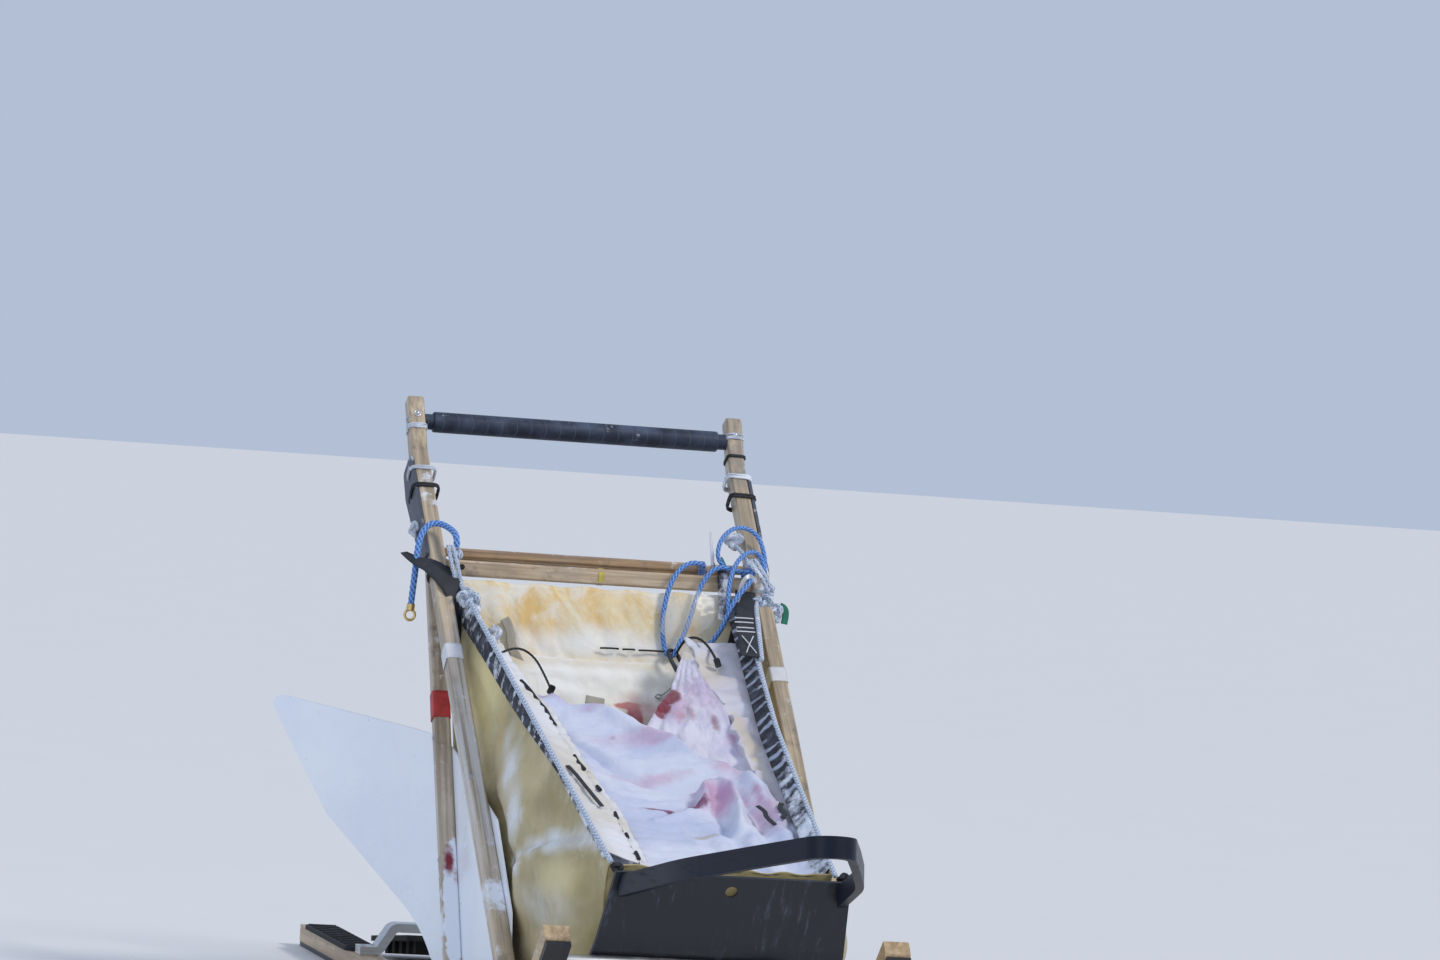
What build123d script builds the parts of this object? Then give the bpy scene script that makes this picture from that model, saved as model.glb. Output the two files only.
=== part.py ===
from build123d import *
import os
from math import atan2, cos, degrees, pi, radians, sin, sqrt, tan

os.makedirs("parts", exist_ok=True)

# The sled stands on its runners, its nose towards -Y, and its own left side is at +X.
# While it is modelled, y is 0 under the handlebar and x is 0 on the middle plane.
# All lengths are in millimetres.

# Fits
SEAT = 0.3            # gap between pieces that are bolted, sewn or lashed together
PIN_FIT = 0.06        # radial running fit of the hinge pins

# Runners
TRACK = 500.0         # distance between the middles of the two runners
RUNNER_WIDTH = 38.0
RUNNER_DEPTH = 28.0
SHOE_DEPTH = 8.0
TAIL_Y = 550.0
BEND_Y = -1045.0      # where the sole's line and the tip's line would meet
TIP_ANGLE = 45.0
TIP_RISE = 205.0
BEND_RADIUS = 200.0

# Bed, a sheet that curves up into the nose plate
BED_Z = 90.0
BED_THICK = 5.0
BED_REAR_Y = -455.0
BED_GAP = 30.0        # from the bed's edge to the runner's middle
NOSE_Y = -1232.0
NOSE_TOP_Z = 297.0
NOSE_ANGLE = 65.0
NOSE_RADIUS = 200.0
NOSE_HALF = 172.0
TOW_BORE_R = 9.0
TOW_BORE_DROP = 24.0

# Legs and stanchions
LEG_WIDTH = 26.0
LEG_DEPTH = 30.0
LEG_LOW = (-950.0, 100.0)       # a point (y, z) that each long leg's middle line runs through
LEG_ANGLE = 41.4                # slope of its lower part
LEG_TOP_ANGLE = 58.0
LEG_TOP_Z = 937.0
LEG_BEND_DROP = 87.0            # how far the leg bends below its top
LEG_FLARE = 12.0                # how far its top stands outside the runner's middle
LEG_TOP_ROUND = 9.0
WOOD_EDGE_ROUND = 4.0           # on the long edges of legs and stanchions
STANCHION_WIDTH = 26.0
STANCHION_DEPTH = 22.0
STANCHION_FOOT_Y = -600.0
STANCHION_TOP_Z = 720.0

# Handlebar and crosspieces
HANDLE_DROP = 35.0              # below the legs' tops
HANDLE_CORE_R = 12.5
HANDLE_GRIP_R = 16.5
HANDLE_GRIP_END = 14.0
UPPER_CROSS_DROP = 17.0         # below the stanchions' tops
UPPER_CROSS = (16.0, 14.0)      # depth along y, height
LOWER_CROSS_DROP = 40.0
LOWER_CROSS = (18.0, 25.0)

# Bridges under the bed and at the tails: place along y
BRIDGE_THICK = 14.0
BRIDGE_WIDTH = 40.0
BRIDGE_Y = {"front": -930.0, "middle": -700.0, "rear": -475.0, "tail": 75.0}
BRIDGE_BEND_R = 12.0
BRIDGE_FOOT_INSET = 3.0         # its foot stays this far inside the runner's outer face
BRIDGE_FOOT_OVER = 4.0          # and reaches this far over the inner face
BRIDGE_SLOPE_RUN = 24.0
NOSE_BAR_R = 11.0
NOSE_BAR_ANGLE = 52.0

# Brake
BRAKE_PIN_R = 5.0
BRAKE_PIN_Y = -430.0
BRAKE_PIN_Z = 76.0
BRAKE_ARM_X = 120.0
BRAKE_ARM = (8.0, 26.0)         # thickness, height
BRAKE_BAR_Y = -15.0
BRAKE_BAR_Z = 96.0
BRAKE_BAR_GAP = 46.0            # from the bar's end to the runner
BRAKE_BAR = (42.0, 16.0)        # depth along y, height
CLAW_X = 110.0
CLAW_R = 8.0
CLAW_POINT = 26.0
CLAW_TIP_Z = 14.0
LUG_THICK = 6.0                 # cheeks that hold the hinge pins
LUG_R = 10.0
LUG_PLAY = 0.5

# Drag mat
MAT_PIN_R = 5.0
MAT_PIN_Y = 122.0
MAT_PIN_Z = 62.0
MAT_GAP = 61.0                  # from the mat's edge to the runner
MAT_LENGTH = 330.0
MAT_THICK = 9.0
MAT_LUG = (22.0, 20.0)          # along the mat, height
MAT_ROWS = 5
MAT_STRAP_X = 105.0
MAT_STRAP_WIDTH = 30.0
MAT_EYE_R = 11.0
MAT_SHEET_FROM = 20.0           # distance of the sheet's front edge from the pin
MAT_LUG_GAP = 3.0               # the lugs hang this far above the ground

# Foot treads
TREAD_FROM = 112.0
TREAD_LENGTH = 360.0
TREAD_WIDTH = 56.0
TREAD_THICK = 7.0
TREAD_RIBS = 12

# Bag
CLOTH = 3.0
HEM = 40.0                      # straight part of each side wall below the rim
RIM_GAP = 15.0                  # from the rim's rear end to the leg's inner face
RIM_BEHIND_DROP = 16.0          # the rim's rear end below the lower crosspiece's middle
RIM_BEHIND_GAP = 7.0            # and in front of that crosspiece
RIM_NOSE_RISE = 9.0             # the rim's front end above the nose's top
RIM_NOSE_GAP = 22.0             # and behind it
RIM_NOSE_INSET = 4.0            # and inside its corners
BAG_REAR_GAP = 23.0             # from the bed's rear edge to the bag's foot
BAG_SECOND = 0.418              # place of the second section between the first and the third
# share along the rim, then how far the foot and the bulge stay inside the bed's edge
BAG_ROWS = [
    (0.00, 20.0, 6.0),
    (0.34, 14.0, -4.0),
    (0.66, 12.0, -6.0),
    (0.84, 32.0, 6.0),
    (1.00, 60.0, 48.0),
]
BAG_NOSE_ANGLES = (33.0, 60.0)  # where the last two sections stand on the curved nose
WEB_THICK = 2.0
WEB_DEPTH = 26.0
WEB_LIFT = 1.0                  # room between the rim's edge and the webbing round it
WEB_REAR_END = 27.0             # how far the webbing's ends stay from the rim's ends
WEB_FRONT_END = 14.0
ROPE_R = 3.2
ROPE_FRONT_END = 22.0

# Cloths in the bag
FLAP_THICK = 2.4
FLAP_TOP_Z = 560.0
FLAP_TOP = (184.0, 8.0)         # half width of the lining's rear edge, and how far its corners rise
# the lining's other lines: y and z of the middle, half width, rise of the edges
FLAP_ROWS = [
    (-462.0, 340.0, 186.0, 24.0),
    (-620.0, 170.0, 188.0, 34.0),
    (-820.0, 98.6, 188.0, 40.0),
    (-1000.0, 118.0, 178.0, 34.0),
    (-1100.0, 176.0, 160.0, 24.0),
    (-1146.0, 226.0, 148.0, 12.0),
]
SIDE_SEAM_DROP = 31.0           # the side flaps are sewn on this far below the rim
# side flaps: share along the rim, x of the free edge, its drop below the rim, sag of the middle
SIDE_FLAP_RIGHT = [
    (0.17, -182.0, 36.0, 2.0),
    (0.33, -166.0, 42.0, 4.0),
    (0.37, -62.0, 44.0, 14.0),
    (0.42, -4.0, 44.0, 22.0),
    (0.50, 44.0, 44.0, 26.0),
    (0.61, 120.0, 42.0, 28.0),
    (0.80, 136.0, 38.0, 22.0),
    (0.92, 142.0, 34.0, 14.0),
]
SIDE_FLAP_LEFT = [
    (0.11, 176.0, 52.0, 2.0),
    (0.20, 128.0, 64.0, 8.0),
    (0.32, 150.0, 92.0, 6.0),
    (0.46, 146.0, 110.0, 6.0),
    (0.62, 140.0, 114.0, 6.0),
    (0.80, 132.0, 104.0, 5.0),
    (0.92, 130.0, 80.0, 4.0),
]

# Brush bow
BOW_THICK = 12.0
BOW_TALL = 30.0
BOW_DROP = 24.0
BOW_INSET = 4.0                 # its ends stay inside the nose's corners
BOW_REACH = 520.0
BOW_RISE = 110.0
# corners of one side in plan: share of the half width, share of the reach, bend radius
BOW_SHAPE = [(0.80, 0.40, 600.0), (0.44, 0.745, 420.0), (0.16, 1.0, 36.0)]

# Sign plate on the sled's right side
SIGN_THICK = 3.0
SIGN_BEND_Y = -336.0
SIGN_BEND_R = 140.0
SIGN_FLARE = 45.0               # angle by which its rear part stands out
SIGN_FRONT_Y = -935.0
SIGN_LENGTH = 400.0             # of its rear part, before its edges are cut
SIGN_CORNER = 14.0
# y and z of its corners, seen from the side
SIGN_OUTLINE = [
    (-100.0, 462.0),
    (-440.0, 402.0),
    (-750.0, 325.0),
    (-880.0, 200.0),
    (-905.0, 75.0),
    (-365.0, 75.0),
    (-190.0, 280.0),
]

# Back plates on the outsides of the legs
BACK_PLATE_THICK = 5.0
PLATE_DROP = 99.0               # their tops below the legs' tops
PLATE_TALL = 148.0
PLATE_LOW_REACH = 8.0           # how far they stand out behind the leg, low, midway and high
PLATE_MID_REACH = 34.0
PLATE_TOP_REACH = 22.0
PLATE_MID_DOWN = 40.0
PLATE_TOP_OVER = 8.0
PLATE_CORNER = 7.0
PLATE_HOLE_R = 8.0
PLATE_HOLE_DOWN = 60.0
PLATE_HOLE_REACH = 12.0

# Free ropes, each from a knot
SNUB_R = 4.0
TIE_R = 5.0
KNOT = (20.0, 30.0, 28.0)       # a knot's width, depth and height
KNOT_ROUND = 6.0
KNOT_Z = 698.0
BAND_X = 170.0                  # rope round the upper crosspiece
BAND_WIDTH = 12.0
BAND_THICK = 4.0
RING_WIRE = 2.2
RING_R = 8.0
WHIP_LENGTH = 10.0
CARABINER = (22.0, 11.0)        # half length and half width at the wire's middle
CARABINER_WIRE = 3.2


def direction(angle):
    a = radians(angle)
    return Vector(cos(a), sin(a))


def meet(p, d, q, e):
    """Where the line through p along d meets the line through q along e."""
    t = ((q.X - p.X) * e.Y - (q.Y - p.Y) * e.X) / (d.X * e.Y - d.Y * e.X)
    return p + d * t


def offset_points(points, distance):
    """The polyline moved to its left by distance, with mitred corners."""
    pts = [Vector(p[0], p[1]) for p in points]
    out = []
    for i, p in enumerate(pts):
        before = (p - pts[i - 1]).normalized() if i else None
        after = (pts[i + 1] - p).normalized() if i + 1 < len(pts) else None
        d0 = before or after
        d1 = after or before
        n0 = Vector(-d0.Y, d0.X)
        n1 = Vector(-d1.Y, d1.X)
        m = (n0 + n1).normalized()
        out.append(p + m * (distance / m.dot(n0)))
    return out


def turn(points, i):
    a = Vector(points[i][0] - points[i - 1][0], points[i][1] - points[i - 1][1])
    b = Vector(points[i + 1][0] - points[i][0], points[i + 1][1] - points[i][1])
    return 1 if a.X * b.Y - a.Y * b.X > 0 else -1


def path_wire(points, radii):
    flat = [(p.X, p.Y) if isinstance(p, Vector) else p for p in points]
    if len(flat) == 2:
        return Line(*flat)
    return FilletPolyline(*flat, radius=radii)


def strip(points, radii, low, high):
    """A band along a bent path, from low to high on its left side."""
    signs = [turn(points, i) for i in range(1, len(points) - 1)]
    one = offset_points(points, low)
    two = offset_points(points, high)
    r_one = [r - s * low for r, s in zip(radii, signs)]
    r_two = [r - s * high for r, s in zip(radii, signs)]
    a = path_wire(one, r_one)
    b = path_wire(two, r_two)
    ends = [Line(a @ 0, b @ 0), Line(a @ 1, b @ 1)]
    return make_face(list(a.edges()) + list(b.edges()) + ends)


def from_side(face, x_middle, width):
    """Stands a (y, z) face up and gives it a width about x_middle."""
    solid = extrude(face, amount=width)
    return Pos(x_middle - width / 2, 0, 0) * Plane.YZ.location * solid


def from_front(face, y_middle, width):
    """Stands an (x, z) face up and gives it a width about y_middle."""
    solid = extrude(face, amount=width)
    return Pos(0, y_middle + width / 2, 0) * Plane.XZ.location * solid


def rod(start, end, radius):
    a = Vector(*start)
    b = Vector(*end)
    along = b - a
    return extrude(Plane(origin=a, z_dir=along) * Circle(radius), amount=along.length)


def rope(points, radius, bends):
    """A tube along straight runs joined by arcs. bends gives tighter arcs by point number."""
    corners = [Vector(*p) for p in points]
    radii = []
    for i in range(1, len(corners) - 1):
        before = corners[i] - corners[i - 1]
        after = corners[i + 1] - corners[i]
        half_turn = radians(before.get_angle(after)) / 2
        radii.append(bends.get(i, 0.45 * min(before.length, after.length) / tan(half_turn)))
    path = FilletPolyline(*corners, radius=radii)
    tube = sweep(Plane(origin=path @ 0, z_dir=path % 0) * Circle(radius), path=path)
    share = tube.volume / (pi * radius ** 2 * path.length)
    print("rope length", round(path.length, 1), "volume share", round(share, 4), "radii", [round(r, 1) for r in radii])
    return tube


def mirrored(shape):
    return mirror(shape, about=Plane.YZ)


pieces = {}

# Runners and their shoes
sole_z = SHOE_DEPTH + SEAT + RUNNER_DEPTH / 2
tip_run = (TIP_RISE - sole_z) / tan(radians(TIP_ANGLE))
runner_path = [(BEND_Y - tip_run, TIP_RISE), (BEND_Y, sole_z), (TAIL_Y, sole_z)]
runner_top = sole_z + RUNNER_DEPTH / 2
runner_face = strip(runner_path, [BEND_RADIUS], -RUNNER_DEPTH / 2, RUNNER_DEPTH / 2)
shoe_face = strip(runner_path, [BEND_RADIUS], -RUNNER_DEPTH / 2 - SEAT - SHOE_DEPTH, -RUNNER_DEPTH / 2 - SEAT)
runner = from_side(runner_face, TRACK / 2, RUNNER_WIDTH)
tip_edges = runner.edges().filter_by(Axis.X).group_by(Axis.Y)[0]
runner = fillet(tip_edges, RUNNER_DEPTH * 0.42)
pieces["runner_left"] = runner
pieces["runner_right"] = mirrored(runner)
shoe = from_side(shoe_face, TRACK / 2, RUNNER_WIDTH - 2)
pieces["runner_shoe_left"] = shoe
pieces["runner_shoe_right"] = mirrored(shoe)

# Foot treads with cross ribs
tread_top = runner_top + SEAT + TREAD_THICK
tread = Pos(TRACK / 2, TREAD_FROM + TREAD_LENGTH / 2, tread_top - TREAD_THICK / 2) * Box(TREAD_WIDTH, TREAD_LENGTH, TREAD_THICK)
tread = fillet(tread.edges().filter_by(Axis.Z), 12)
rib_pitch = TREAD_LENGTH / TREAD_RIBS
for i in range(TREAD_RIBS):
    rib_y = TREAD_FROM + (i + 0.5) * rib_pitch
    tread += Pos(TRACK / 2, rib_y, tread_top + 1) * Box(TREAD_WIDTH - 10, rib_pitch / 3, 2)
pieces["foot_tread_left"] = tread
pieces["foot_tread_right"] = mirrored(tread)

# Bed and nose plate
bed_middle = BED_Z + BED_THICK / 2
nose_run = (NOSE_TOP_Z - bed_middle) / tan(radians(NOSE_ANGLE))
bed_path = [(NOSE_Y, NOSE_TOP_Z), (NOSE_Y + nose_run, bed_middle), (BED_REAR_Y, bed_middle)]
nose_tangent = NOSE_RADIUS * tan(radians(NOSE_ANGLE / 2))
nose_centre = Vector(NOSE_Y + nose_run + nose_tangent, bed_middle + NOSE_RADIUS)
bed_face = strip(bed_path, [NOSE_RADIUS], -BED_THICK / 2, BED_THICK / 2)
bed_half = TRACK / 2 - BED_GAP
bed = from_side(bed_face, 0, 2 * bed_half)
plan = Polyline(
    (-bed_half, BED_REAR_Y + 5),
    (bed_half, BED_REAR_Y + 5),
    (bed_half, nose_centre.X),
    (NOSE_HALF, NOSE_Y - 5),
    (-NOSE_HALF, NOSE_Y - 5),
    (-bed_half, nose_centre.X),
    close=True,
)
bed = bed & extrude(make_face(plan), amount=NOSE_TOP_Z + 50)
nose_line = direction(NOSE_ANGLE)
nose_down = Vector(nose_line.X, -nose_line.Y)
tow_point = Vector(NOSE_Y, NOSE_TOP_Z) + nose_down * TOW_BORE_DROP
tow_axis = Vector(0, -sin(radians(NOSE_ANGLE)), -cos(radians(NOSE_ANGLE)))
tow_plane = Plane(origin=(0, tow_point.X, tow_point.Y), z_dir=tow_axis)
bed = bed - extrude(tow_plane * Circle(TOW_BORE_R), amount=20, both=True)
pieces["bed"] = bed

# Bar between the runner tips, under the nose plate
bar_reach = NOSE_RADIUS + BED_THICK / 2 + SEAT + NOSE_BAR_R
bar_a = radians(NOSE_BAR_ANGLE)
bar_y = nose_centre.X - bar_reach * sin(bar_a)
bar_z = nose_centre.Y - bar_reach * cos(bar_a)
bar_half = TRACK / 2 - RUNNER_WIDTH / 2 - SEAT
pieces["nose_bar"] = rod((-bar_half, bar_y, bar_z), (bar_half, bar_y, bar_z), NOSE_BAR_R)

# Bridges, bent from flat bar, with their feet on the runners
half = BRIDGE_THICK / 2
foot_z = runner_top + SEAT + half
deck_z = BED_Z - SEAT - half
foot_out = TRACK / 2 + RUNNER_WIDTH / 2 - BRIDGE_FOOT_INSET
foot_in = TRACK / 2 - RUNNER_WIDTH / 2 + BRIDGE_FOOT_OVER
deck_x = foot_in - BRIDGE_SLOPE_RUN
bridge_path = [(-foot_out, foot_z), (-foot_in, foot_z), (-deck_x, deck_z), (deck_x, deck_z), (foot_in, foot_z), (foot_out, foot_z)]
bridge_face = strip(bridge_path, [BRIDGE_BEND_R] * 4, -half, half)
for name, y in BRIDGE_Y.items():
    pieces["bridge_" + name] = from_front(bridge_face, y, BRIDGE_WIDTH)

# Long legs, leaned outwards a little towards their tops
low = Vector(*LEG_LOW)
leg_dir = direction(LEG_ANGLE)
leg_start = meet(low, leg_dir, Vector(0, sole_z), Vector(1, 0))
leg_bend = meet(low, leg_dir, Vector(0, LEG_TOP_Z - LEG_BEND_DROP), Vector(1, 0))
leg_top = meet(leg_bend, direction(LEG_TOP_ANGLE), Vector(0, LEG_TOP_Z), Vector(1, 0))
leg_path = [(leg_start.X, leg_start.Y), (leg_bend.X, leg_bend.Y), (leg_top.X, leg_top.Y)]
leg_face = strip(leg_path, [120], -LEG_DEPTH / 2, LEG_DEPTH / 2)
clear_face = strip(runner_path, [BEND_RADIUS], -RUNNER_DEPTH - 60, RUNNER_DEPTH / 2 + SEAT)
lean = degrees(atan2(LEG_FLARE, LEG_TOP_Z - runner_top))


def leaned(shape):
    """Turns a piece of the side frame outwards about the runner's top."""
    return Pos(TRACK / 2, 0, runner_top) * Rot(0, lean, 0) * Pos(-TRACK / 2, 0, -runner_top) * shape


def frame_x(z):
    """Middle of the leaned side frame at the height z."""
    return TRACK / 2 + (z - runner_top) * tan(radians(lean))


clear_solid = from_side(clear_face, TRACK / 2, 200)
leg = from_side(leg_face, TRACK / 2, LEG_WIDTH)
leg = fillet(leg.edges().filter_by(Axis.X).group_by(Axis.Z)[-1], LEG_TOP_ROUND)
long_edges = [e for e in leg.edges() if e.center().Z > leg_start.Y + LEG_DEPTH and abs((e % 0.5).X) < 0.5]
leg = fillet(long_edges, WOOD_EDGE_ROUND)
leg = leaned(leg) - clear_solid
pieces["leg_left"] = leg
pieces["leg_right"] = mirrored(leg)

# Short stanchions, their tops cut to sit behind the long legs
foot = Vector(STANCHION_FOOT_Y, sole_z)
on_leg = meet(low, leg_dir, Vector(0, STANCHION_TOP_Z), Vector(1, 0))
st_dir = (on_leg - foot).normalized()
side = Vector(-st_dir.Y, st_dir.X) * (STANCHION_DEPTH / 2)
behind = low + Vector(leg_dir.Y, -leg_dir.X) * (LEG_DEPTH / 2 + SEAT)
front_top = meet(foot + side, st_dir, behind, leg_dir)
back_top = meet(foot - side, st_dir, behind, leg_dir)
stanchion_face = make_face(Polyline(
    (foot.X + side.X, foot.Y + side.Y),
    (front_top.X, front_top.Y),
    (back_top.X, back_top.Y),
    (foot.X - side.X, foot.Y - side.Y),
    close=True,
))
stanchion = from_side(stanchion_face, TRACK / 2, STANCHION_WIDTH)
side_length = min((front_top - foot - side).length, (back_top - foot + side).length)
stanchion = fillet([e for e in stanchion.edges() if e.length > side_length - SEAT], WOOD_EDGE_ROUND)
stanchion = leaned(stanchion) - clear_solid
pieces["stanchion_left"] = stanchion
pieces["stanchion_right"] = mirrored(stanchion)

# Handlebar, a round core with a thicker wrapped grip
handle_z = LEG_TOP_Z - HANDLE_DROP
handle_y = leg_top.X - HANDLE_DROP / tan(radians(LEG_TOP_ANGLE))
handle_half = frame_x(handle_z - HANDLE_CORE_R) - LEG_WIDTH / 2 - SEAT
core = rod((-handle_half, handle_y, handle_z), (handle_half, handle_y, handle_z), HANDLE_CORE_R)
grip_half = handle_half - HANDLE_GRIP_END
grip = rod((-grip_half, handle_y, handle_z), (grip_half, handle_y, handle_z), HANDLE_GRIP_R)
pieces["handlebar"] = core + fillet(grip.edges(), 3)

# Crosspieces between the legs
upper_z = STANCHION_TOP_Z - UPPER_CROSS_DROP
lower_z = STANCHION_TOP_Z - LOWER_CROSS_DROP
for name, z, section in (("upper_crosspiece", upper_z, UPPER_CROSS), ("lower_crosspiece", lower_z, LOWER_CROSS)):
    y = meet(low, leg_dir, Vector(0, z), Vector(1, 0)).X
    half_x = frame_x(z - section[1] / 2) - LEG_WIDTH / 2 - SEAT
    bar = Pos(0, y, z) * Box(2 * half_x, section[0], section[1])
    pieces[name] = fillet(bar.edges().filter_by(Axis.X), 4)

# Back plates on the outsides of the legs, below the handlebar
plate_in = LEG_DEPTH / 2
plate_top_z = LEG_TOP_Z - PLATE_DROP
plate_low = meet(low, leg_dir, Vector(0, plate_top_z - PLATE_TALL), Vector(1, 0))
plate_high = meet(low, leg_dir, Vector(0, plate_top_z), Vector(1, 0))
normal = Vector(leg_dir.Y, -leg_dir.X)
plate_points = [
    plate_low - normal * plate_in,
    plate_high - normal * plate_in,
    plate_high + leg_dir * PLATE_TOP_OVER + normal * (plate_in + PLATE_TOP_REACH),
    plate_high - leg_dir * PLATE_MID_DOWN + normal * (plate_in + PLATE_MID_REACH),
    plate_low + normal * (plate_in + PLATE_LOW_REACH),
]
plate_face = make_face(Polyline(*[(p.X, p.Y) for p in plate_points], close=True))
plate_face = fillet(plate_face.vertices(), PLATE_CORNER)
hole_at = plate_high - leg_dir * PLATE_HOLE_DOWN + normal * (plate_in + PLATE_HOLE_REACH)
plate_face = plate_face - Pos(hole_at.X, hole_at.Y) * Circle(PLATE_HOLE_R)
plate_x = TRACK / 2 + LEG_WIDTH / 2 + SEAT + BACK_PLATE_THICK / 2
back_plate = leaned(from_side(plate_face, plate_x, BACK_PLATE_THICK))
pieces["back_plate_left"] = back_plate
pieces["back_plate_right"] = mirrored(back_plate)

# Bag: sections from its rear end to its front end, each in a plane of its own
cross_front_y = pieces["lower_crosspiece"].bounding_box().min.Y
rim_rear = Vector(cross_front_y - RIM_BEHIND_GAP, lower_z - RIM_BEHIND_DROP)
rim_front = Vector(NOSE_Y + RIM_NOSE_GAP, NOSE_TOP_Z + RIM_NOSE_RISE)
rim_run = rim_front - rim_rear
rear_half = TRACK / 2 - LEG_WIDTH / 2 - RIM_GAP
front_half = NOSE_HALF - RIM_NOSE_INSET
floor_r = NOSE_RADIUS - BED_THICK / 2 - SEAT
floor_z = BED_Z + BED_THICK + SEAT


def on_rim(share):
    return rim_rear + rim_run * share


def rim_half(share):
    return rear_half + (front_half - rear_half) * share


def on_nose(angle):
    a = radians(angle)
    return Vector(nose_centre.X - floor_r * sin(a), nose_centre.Y - floor_r * cos(a))


bag_rear_y = BED_REAR_Y - BAG_REAR_GAP
second_y = bag_rear_y + (nose_centre.X - bag_rear_y) * BAG_SECOND
bag_feet = [Vector(bag_rear_y, floor_z), Vector(second_y, floor_z), Vector(nose_centre.X, floor_z)]
bag_feet += [on_nose(angle) for angle in BAG_NOSE_ANGLES]
bag_rows = [(share, foot, bed_half - a, bed_half - b) for foot, (share, a, b) in zip(bag_feet, BAG_ROWS)]


def bag_section(row, inner, slide):
    share, base, base_half, bulge_half = row
    rim = on_rim(share)
    up = (rim - base).normalized()
    height = (rim - base).length
    base_half -= inner
    bulge_half -= inner
    top_half = rim_half(share) - inner
    low_at = inner
    hem_at = height - HEM
    points = {"low": (base_half, low_at), "mid": (bulge_half, low_at + (hem_at - low_at) * 0.45), "hem": (top_half, hem_at)}
    top_at = height + (40 if inner else 0)

    def place(x, along):
        q = base + up * along
        return (x, q.X + slide, q.Y)

    low_p, mid_p, hem_p = points["low"], points["mid"], points["hem"]
    right = ThreePointArc(place(low_p[0], low_p[1]), place(mid_p[0], mid_p[1]), place(hem_p[0], hem_p[1]))
    left = ThreePointArc(place(-hem_p[0], hem_p[1]), place(-mid_p[0], mid_p[1]), place(-low_p[0], low_p[1]))
    edges = [
        right,
        Line(place(top_half, hem_at), place(top_half, top_at)),
        Line(place(top_half, top_at), place(-top_half, top_at)),
        Line(place(-top_half, top_at), place(-top_half, hem_at)),
        left,
        Line(place(-base_half, low_at), place(base_half, low_at)),
    ]
    return Wire(edges)


outer = Solid.make_loft([bag_section(r, 0, 0) for r in bag_rows], ruled=True)
inner_rows = []
for i, row in enumerate(bag_rows):
    slide = -CLOTH * 1.1 if i == 0 else (CLOTH * 1.1 if i == len(bag_rows) - 1 else 0)
    inner_rows.append(bag_section(row, CLOTH, slide))
inner_solid = Solid.make_loft(inner_rows, ruled=True)
bag = Part(outer.wrapped) - Part(inner_solid.wrapped)
pieces["bag"] = bag

# Webbing caps over the rims, and the taut ropes above them
rope_end_y = cross_front_y - SEAT - ROPE_R * 0.5
for sign, name in ((1, "left"), (-1, "right")):
    a = Vector(sign * (rear_half - CLOTH / 2), rim_rear.X, rim_rear.Y)
    b = Vector(sign * (front_half - CLOTH / 2), rim_front.X, rim_front.Y)
    along = (b - a).normalized()
    across = Vector(1, 0, 0)
    up = across.cross(along).normalized()
    if up.Z < 0:
        up = up * -1
    a = a + along * WEB_REAR_END
    b = b - along * WEB_FRONT_END
    plane = Plane(origin=a, x_dir=(across - along * across.dot(along)).normalized(), z_dir=along)
    y_sign = 1 if plane.y_dir.dot(up) > 0 else -1
    gap = CLOTH / 2 + WEB_LIFT
    web = Pos(0, y_sign * (WEB_THICK + WEB_LIFT - WEB_DEPTH / 2)) * Rectangle(2 * (gap + WEB_THICK), WEB_DEPTH)
    slot = Pos(0, y_sign * (WEB_LIFT - WEB_DEPTH / 2)) * Rectangle(2 * gap, WEB_DEPTH)
    pieces["webbing_" + name] = extrude(plane * (web - slot), amount=(b - a).length)
    rope_shift = up * (WEB_LIFT + WEB_THICK + SEAT + ROPE_R)
    ra = a + rope_shift + along * ((rope_end_y - a.Y - rope_shift.Y) / along.Y)
    rb = b + rope_shift + along * ROPE_FRONT_END
    pieces["rim_rope_" + name] = rod(tuple(ra), tuple(rb), ROPE_R)


def cloth_line(ends, middle, thick_dir):
    """A closed line round a bent strip of cloth, as a section for a loft."""
    k = thick_dir * FLAP_THICK
    low_arc = ThreePointArc(ends[0], middle, ends[1])
    high_arc = ThreePointArc(ends[1] + k, middle + k, ends[0] + k)
    return Wire([low_arc, Line(low_arc @ 1, high_arc @ 0), high_arc, Line(high_arc @ 1, low_arc @ 0)])


# Lining, from the back wall down over the floor to the nose
bag_back = bag_feet[0]
back_up = (rim_rear - bag_back).normalized()
flap_top = meet(bag_back, back_up, Vector(0, FLAP_TOP_Z), Vector(1, 0))
flap_top_y = flap_top.X - CLOTH * 1.1 - SEAT / back_up.Y
flap_rows = [(flap_top_y, FLAP_TOP_Z, *FLAP_TOP)] + FLAP_ROWS
flap_lines = []
for i, (y, z, w, rise) in enumerate(flap_rows):
    before = flap_rows[max(i - 1, 0)]
    after = flap_rows[min(i + 1, len(flap_rows) - 1)]
    run = Vector(0, after[0] - before[0], after[1] - before[1]).normalized()
    up = Vector(0, -run.Z, run.Y)
    if up.Z < 0:
        up = up * -1
    ends = [Vector(-w, y, z) + up * rise, Vector(w, y, z) + up * rise]
    flap_lines.append(cloth_line(ends, Vector(0, y, z), up))
pieces["cover_flap"] = Part(Solid.make_loft(flap_lines, ruled=True).wrapped)

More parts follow.
